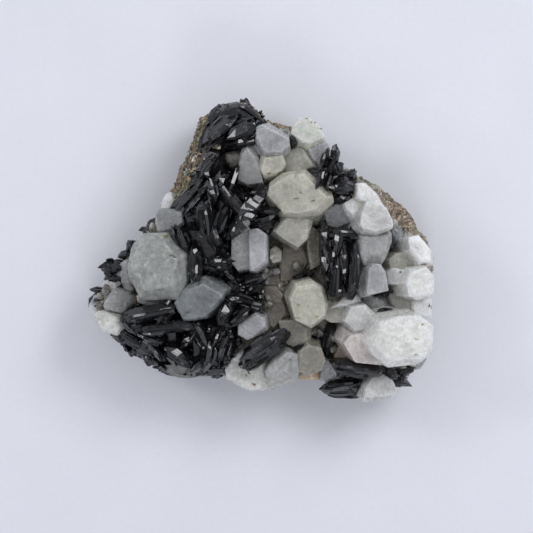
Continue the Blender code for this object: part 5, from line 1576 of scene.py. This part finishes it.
def grains_group():
    """Interlocked mineral grains of several colours."""
    found = bpy.data.node_groups.get("Mineral grains")
    if found:
        return found
    group, start, end = new_group("Mineral grains", FINISH_INPUTS, FINISH_OUTPUTS)
    place = start.outputs["Place"]
    grains = new_node(group, "ShaderNodeTexVoronoi", {"Vector": place, "Scale": 1.15, "Randomness": 1.0})
    small = new_node(group, "ShaderNodeTexVoronoi", {"Vector": place, "Scale": 2.9, "Randomness": 1.0})
    pick = new_node(group, "ShaderNodeSeparateColor", {"Color": grains.outputs["Color"]})
    small_pick = new_node(group, "ShaderNodeSeparateColor", {"Color": small.outputs["Color"]})
    light = spread(group, pick.outputs[0], 0.0, 1.0, 0.45, 1.5)
    light = math_node(group, "MULTIPLY", light, spread(group, small_pick.outputs[1], 0.0, 1.0, 0.6, 1.35))
    body = scaled_colour(group, start.outputs["Tint"], light)
    palette = group.nodes.new("ShaderNodeValToRGB")
    palette.color_ramp.interpolation = "CONSTANT"
    marks = ((0.0, GRAIN_TINTS[0]), (0.2, GRAIN_TINTS[2]), (0.4, GRAIN_TINTS[6]), (0.6, GRAIN_TINTS[3]), (0.8, GRAIN_TINTS[4]))
    for number, (at, colour) in enumerate(marks):
        mark = palette.color_ramp.elements[number] if number < 2 else palette.color_ramp.elements.new(at)
        mark.position = at
        mark.color = (*linear(colour), 1.0)
    group.links.new(small_pick.outputs[0], palette.inputs["Fac"])
    odd = spread(group, small_pick.outputs[2], 0.62, 0.66, 0.0, 1.0)
    share = math_node(group, "MULTIPLY", odd, start.outputs["Strength"])
    group.links.new(blended(group, share, body, palette.outputs["Color"]), end.inputs["Colour"])
    dust = noise_node(group, place, 0.6, 4.0)
    group.links.new(spread(group, dust, 0.3, 0.7, 0.62, 0.92), end.inputs["Roughness"])
    high = math_node(group, "ADD", grains.outputs["Distance"], math_node(group, "MULTIPLY", small.outputs["Distance"], 0.5))
    group.links.new(high, end.inputs["Height"])
    return group


def new_material(name):
    material = bpy.data.materials.new(name)
    material.use_nodes = True
    return material, material.node_tree, material.node_tree.nodes["Principled BSDF"]


def attribute(tree, name):
    return new_node(tree, "ShaderNodeAttribute", attribute_name=name, attribute_type="GEOMETRY")


def dress(tree, shader, group, tint, place, strength, bump, distance):
    """Places a finish group in a material and joins it to the shader."""
    finish_node = new_node(tree, "ShaderNodeGroup")
    finish_node.node_tree = group
    tree.links.new(tint, finish_node.inputs["Tint"])
    tree.links.new(place, finish_node.inputs["Place"])
    finish_node.inputs["Strength"].default_value = strength
    relief = new_node(tree, "ShaderNodeBump", {"Strength": bump, "Distance": distance, "Height": finish_node.outputs["Height"]})
    tree.links.new(finish_node.outputs["Colour"], shader.inputs["Base Color"])
    tree.links.new(finish_node.outputs["Roughness"], shader.inputs["Roughness"])
    tree.links.new(relief.outputs["Normal"], shader.inputs["Normal"])


def millimetres(tree):
    coordinates = new_node(tree, "ShaderNodeTexCoord")
    return stretched(tree, coordinates.outputs["Object"], (1000.0, 1000.0, 1000.0))


def rock_material():
    material, tree, shader = new_material("host_rock")
    dress(tree, shader, grains_group(), attribute(tree, "tint").outputs["Color"], millimetres(tree), 0.8, 0.6, 0.0004)
    return material


def grain_material():
    material, tree, shader = new_material("rock_grains")
    dress(tree, shader, grains_group(), attribute(tree, "tint").outputs["Color"], millimetres(tree), 0.15, 0.4, 0.0002)
    return material


def quartz_material(name, clear, looks):
    material, tree, shader = new_material(name)
    shader.inputs["Transmission Weight"].default_value = looks.clear_share if clear else looks.cloudy_share
    shader.inputs["IOR"].default_value = 1.544
    shader.inputs["Subsurface Weight"].default_value = 1.0
    shader.inputs["Subsurface Radius"].default_value = (1.0, 0.95, 0.9)
    shader.inputs["Subsurface Scale"].default_value = 0.0045
    dress(
        tree, shader, clouds_group(), attribute(tree, "tint").outputs["Color"],
        attribute(tree, "lie").outputs["Vector"], 1.0 if clear else 0.6, 0.35, 0.00030,
    )
    volume = new_node(tree, "ShaderNodeVolumeAbsorption", {"Color": (0.86, 0.87, 0.84, 1.0), "Density": 15.0})
    tree.links.new(volume.outputs["Volume"], tree.nodes["Material Output"].inputs["Volume"])
    return material


def epidote_material():
    found = bpy.data.materials.get("striated_epidote")
    if found:
        return found
    material, tree, shader = new_material("striated_epidote")
    shader.inputs["IOR"].default_value = 1.68
    dress(
        tree, shader, striations_group(), attribute(tree, "tint").outputs["Color"],
        attribute(tree, "lie").outputs["Vector"], 0.7, 0.4, 0.00012,
    )
    return material


def grey_crystal_material():
    material, tree, shader = new_material("grey_crystal")
    shader.inputs["IOR"].default_value = 1.6
    dress(
        tree, shader, striations_group(), attribute(tree, "tint").outputs["Color"],
        attribute(tree, "lie").outputs["Vector"], 0.3, 0.6, 0.0002,
    )
    return material


# The add-on

class ClusterSizes(bpy.types.PropertyGroup):
    """Sizes and counts that a user would change."""

    lath_spacing: FloatProperty(
        name="Striation spacing", description="Distance between the thin parallel crystals on a blade, in mm",
        default=1.7, min=0.3, max=3.0,
    )
    rim_spacing: FloatProperty(
        name="Rim crystal spacing", description="Distance between small quartz crystals on the rim, in mm",
        default=2.6, min=1.0, max=8.0,
    )
    gap_crystals: IntProperty(
        name="Gap crystals", description="Tries at placing a small quartz crystal between large ones",
        default=900, min=0, max=5000,
    )
    wall_blades: IntProperty(
        name="Wall blades", description="Tries at placing small epidote blades on the band's walls",
        default=1400, min=0, max=6000,
    )
    rock_grains: IntProperty(
        name="Rock grains", description="Mineral grains on the rock's broken sides",
        default=5200, min=0, max=9000,
    )
    rock_step: FloatProperty(
        name="Rock detail", description="Distance between the points of the rock's surface",
        default=0.00062, min=0.0003, max=0.003, subtype="DISTANCE", unit="LENGTH", precision=5,
    )


class ClusterLooks(bpy.types.PropertyGroup):
    """Colours and clarity that a user would change."""

    epidote: FloatVectorProperty(
        name="Epidote", description="Colour of the epidote crystals",
        default=linear((15, 15, 17)), size=3, min=0.0, max=1.0, subtype="COLOR",
    )
    grey_crystal: FloatVectorProperty(
        name="Grey crystal", description="Colour of the grey block at the lower edge",
        default=linear((112, 112, 108)), size=3, min=0.0, max=1.0, subtype="COLOR",
    )
    clear_share: FloatProperty(
        name="Clear quartz", description="How much of its light the clearer quartz lets through",
        default=0.38, min=0.0, max=1.0, subtype="FACTOR",
    )
    cloudy_share: FloatProperty(
        name="Cloudy quartz", description="How much of its light the cloudy quartz lets through",
        default=0.12, min=0.0, max=1.0, subtype="FACTOR",
    )
    floor: FloatVectorProperty(
        name="Floor", description="Colour of the surface that the specimen lies on",
        default=(0.80, 0.81, 0.85), size=3, min=0.0, max=1.0, subtype="COLOR",
    )


class CLUSTER_OT_host_rock(bpy.types.Operator):
    """Builds the host rock and the mineral grains on its sides"""

    bl_idname = "cluster.host_rock"
    bl_label = "Host rock"

    def execute(self, context):
        sizes = context.scene.cluster_sizes
        rock_surface(sizes)
        rock_grains(sizes)
        return {"FINISHED"}


class CLUSTER_OT_quartz(bpy.types.Operator):
    """Builds both groups of quartz crystals"""

    bl_idname = "cluster.quartz"
    bl_label = "Quartz crystals"

    def execute(self, context):
        sizes = context.scene.cluster_sizes
        looks = context.scene.cluster_looks
        materials = [
            quartz_material("quartz_cloudy", False, looks),
            quartz_material("quartz_clear", True, looks),
        ]
        quartz_group("quartz_main_crystals", "quartz_main_group", QUARTZ_MAIN, 400, CRUST_MAIN, sizes, materials)
        quartz_group("quartz_left_crystals", "quartz_left_group", QUARTZ_LEFT, 500, CRUST_LEFT, sizes, materials)
        return {"FINISHED"}


class CLUSTER_OT_epidote(bpy.types.Operator):
    """Builds the epidote band, the clusters and the single crystals"""

    bl_idname = "cluster.epidote"
    bl_label = "Epidote crystals"

    def execute(self, context):
        sizes = context.scene.cluster_sizes
        looks = context.scene.cluster_looks
        for name, slot, mass_rows, blade_rows, seed in EPIDOTE_PIECES:
            rng = random.Random(seed)
            shells = Shells()
            tint = list(looks.grey_crystal if slot == "grey_crystal" else looks.epidote)
            bodies = masses(mass_rows, EPIDOTE_FOOT)
            if bodies:
                wall_druse(shells, rng, bodies, sizes.wall_blades, tint, DRUSE_LOW)
            for row, body in enumerate(bodies):
                shells.add_body(body, Matrix.Identity(3), Vector(), tint, 17.0 * row)
            for row, place in enumerate(blade_rows):
                striated_blade(shells, rng, row + seed, place, tint, sizes.lath_spacing)
            gleaming_crystals(shells, rng, GLEAMING_CRYSTALS.get(name, ()), tint)
            material = grey_crystal_material() if slot == "grey_crystal" else epidote_material()
            thing = shells.make(name + "_crystals", [material])
            hand_in(thing, slot, name)
        return {"FINISHED"}


class CLUSTER_OT_inclusions(bpy.types.Operator):
    """Adds the small needles and stains on the quartz"""

    bl_idname = "cluster.inclusions"
    bl_label = "Inclusions"

    def execute(self, context):
        needles(context.scene.cluster_sizes)
        return {"FINISHED"}


class CLUSTER_OT_stage(bpy.types.Operator):
    """Sets up the floor, the soft light and the camera above the specimen"""

    bl_idname = "cluster.stage"
    bl_label = "Stage"

    def execute(self, context):
        stage(context.scene)
        return {"FINISHED"}


OPERATORS = (
    CLUSTER_OT_host_rock, CLUSTER_OT_quartz, CLUSTER_OT_epidote, CLUSTER_OT_inclusions, CLUSTER_OT_stage,
)


class CLUSTER_PT_sidebar(bpy.types.Panel):
    """Lists what the add-on builds"""

    bl_idname = "CLUSTER_PT_sidebar"
    bl_label = "Epidote cluster"
    bl_space_type = "VIEW_3D"
    bl_region_type = "UI"
    bl_category = "Cluster"

    def draw(self, context):
        for group in (context.scene.cluster_sizes, context.scene.cluster_looks):
            for key in group.bl_rna.properties.keys():
                if key not in ("rna_type", "name"):
                    self.layout.prop(group, key)
        for operator in OPERATORS:
            self.layout.operator(operator.bl_idname)


CLASSES = (ClusterSizes, ClusterLooks, *OPERATORS, CLUSTER_PT_sidebar)


def register():
    for each in CLASSES:
        bpy.utils.register_class(each)
    bpy.types.Scene.cluster_sizes = bpy.props.PointerProperty(type=ClusterSizes)
    bpy.types.Scene.cluster_looks = bpy.props.PointerProperty(type=ClusterLooks)


def unregister():
    del bpy.types.Scene.cluster_looks
    del bpy.types.Scene.cluster_sizes
    for each in reversed(CLASSES):
        bpy.utils.unregister_class(each)


# Stage: places and sizes in metres
CAMERA_PLACE = (0.001125, -0.003625, 0.760)
CAMERA_LENS = 200.0
CAMERA_SENSOR = 36.0
FLOOR_REACH = 4.0
FLOOR_LEVEL = -0.00005
BOX_COLOUR = (0.97, 0.975, 1.0)
# Each softbox: name, place, side, watts
SOFTBOXES = (
    ("softbox_main", Vector((0.28, 0.27, 0.45)), 0.22, 1.1),
    ("softbox_left", Vector((-0.36, 0.16, 0.42)), 0.155, 0.47),
    ("softbox_front", Vector((0.08, -0.38, 0.45)), 0.13, 0.28),
)
SKY_COLOUR = (0.84, 0.86, 0.95, 1.0)
# The sky's strength by the upward part of a direction, 0 at the skyline and 1 overhead
SKY_LEVELS = ((0.0, 0.30), (0.45, 0.45), (0.72, 0.90), (0.90, 0.90), (0.97, 0.10))


def floor_material(colour):
    material, tree, shader = new_material("floor")
    place = millimetres(tree)
    paper = noise_node(tree, place, 0.02, 4.0)
    fibre = noise_node(tree, place, 0.8, 3.0)
    tone = math_node(tree, "MULTIPLY", spread(tree, paper, 0.3, 0.7, 0.97, 1.02), spread(tree, fibre, 0.3, 0.7, 0.985, 1.01))
    tree.links.new(scaled_colour(tree, (*colour,), tone), shader.inputs["Base Color"])
    shader.inputs["Roughness"].default_value = 0.8
    return material


def stage(scene):
    plane = bmesh.new()
    bmesh.ops.create_grid(plane, x_segments=1, y_segments=1, size=FLOOR_REACH / 2)
    floor = bpy.data.objects.new("floor", mesh_from(plane, "floor"))
    floor.location.z = FLOOR_LEVEL
    scene.collection.objects.link(floor)
    floor.data.materials.append(floor_material(scene.cluster_looks.floor))
    for name, place, side, watts in SOFTBOXES:
        light = bpy.data.lights.new(name, "AREA")
        light.shape = "SQUARE"
        light.size = side
        light.energy = watts
        light.color = BOX_COLOUR
        box = bpy.data.objects.new(name, light)
        box.location = place
        box.rotation_euler = place.to_track_quat("Z", "Y").to_euler()
        scene.collection.objects.link(box)
    camera = bpy.data.cameras.new("camera")
    camera.lens = CAMERA_LENS
    camera.sensor_width = CAMERA_SENSOR
    camera.clip_end = 10.0
    eye = bpy.data.objects.new("camera", camera)
    eye.location = CAMERA_PLACE
    scene.collection.objects.link(eye)
    scene.camera = eye
    world = bpy.data.worlds.new("sky")
    world.use_nodes = True
    sky = world.node_tree.nodes["Background"]
    sky.inputs["Color"].default_value = SKY_COLOUR
    where = new_node(world.node_tree, "ShaderNodeTexCoord")
    height = new_node(world.node_tree, "ShaderNodeSeparateXYZ", {"Vector": where.outputs["Generated"]})
    levels = world.node_tree.nodes.new("ShaderNodeValToRGB")
    for number, (at, level) in enumerate(SKY_LEVELS):
        ramp = levels.color_ramp.elements
        mark = ramp[number] if number < 2 else ramp.new(at)
        mark.position = at
        mark.color = (level, level, level, 1.0)
    world.node_tree.links.new(height.outputs["Z"], levels.inputs["Fac"])
    world.node_tree.links.new(levels.outputs["Color"], sky.inputs["Strength"])
    scene.world = world
    scene.view_settings.view_transform = "Standard"


def main():
    register()
    for operator in OPERATORS:
        family, step = operator.bl_idname.split(".")
        getattr(getattr(bpy.ops, family), step)()


if __name__ == "__main__":
    main()
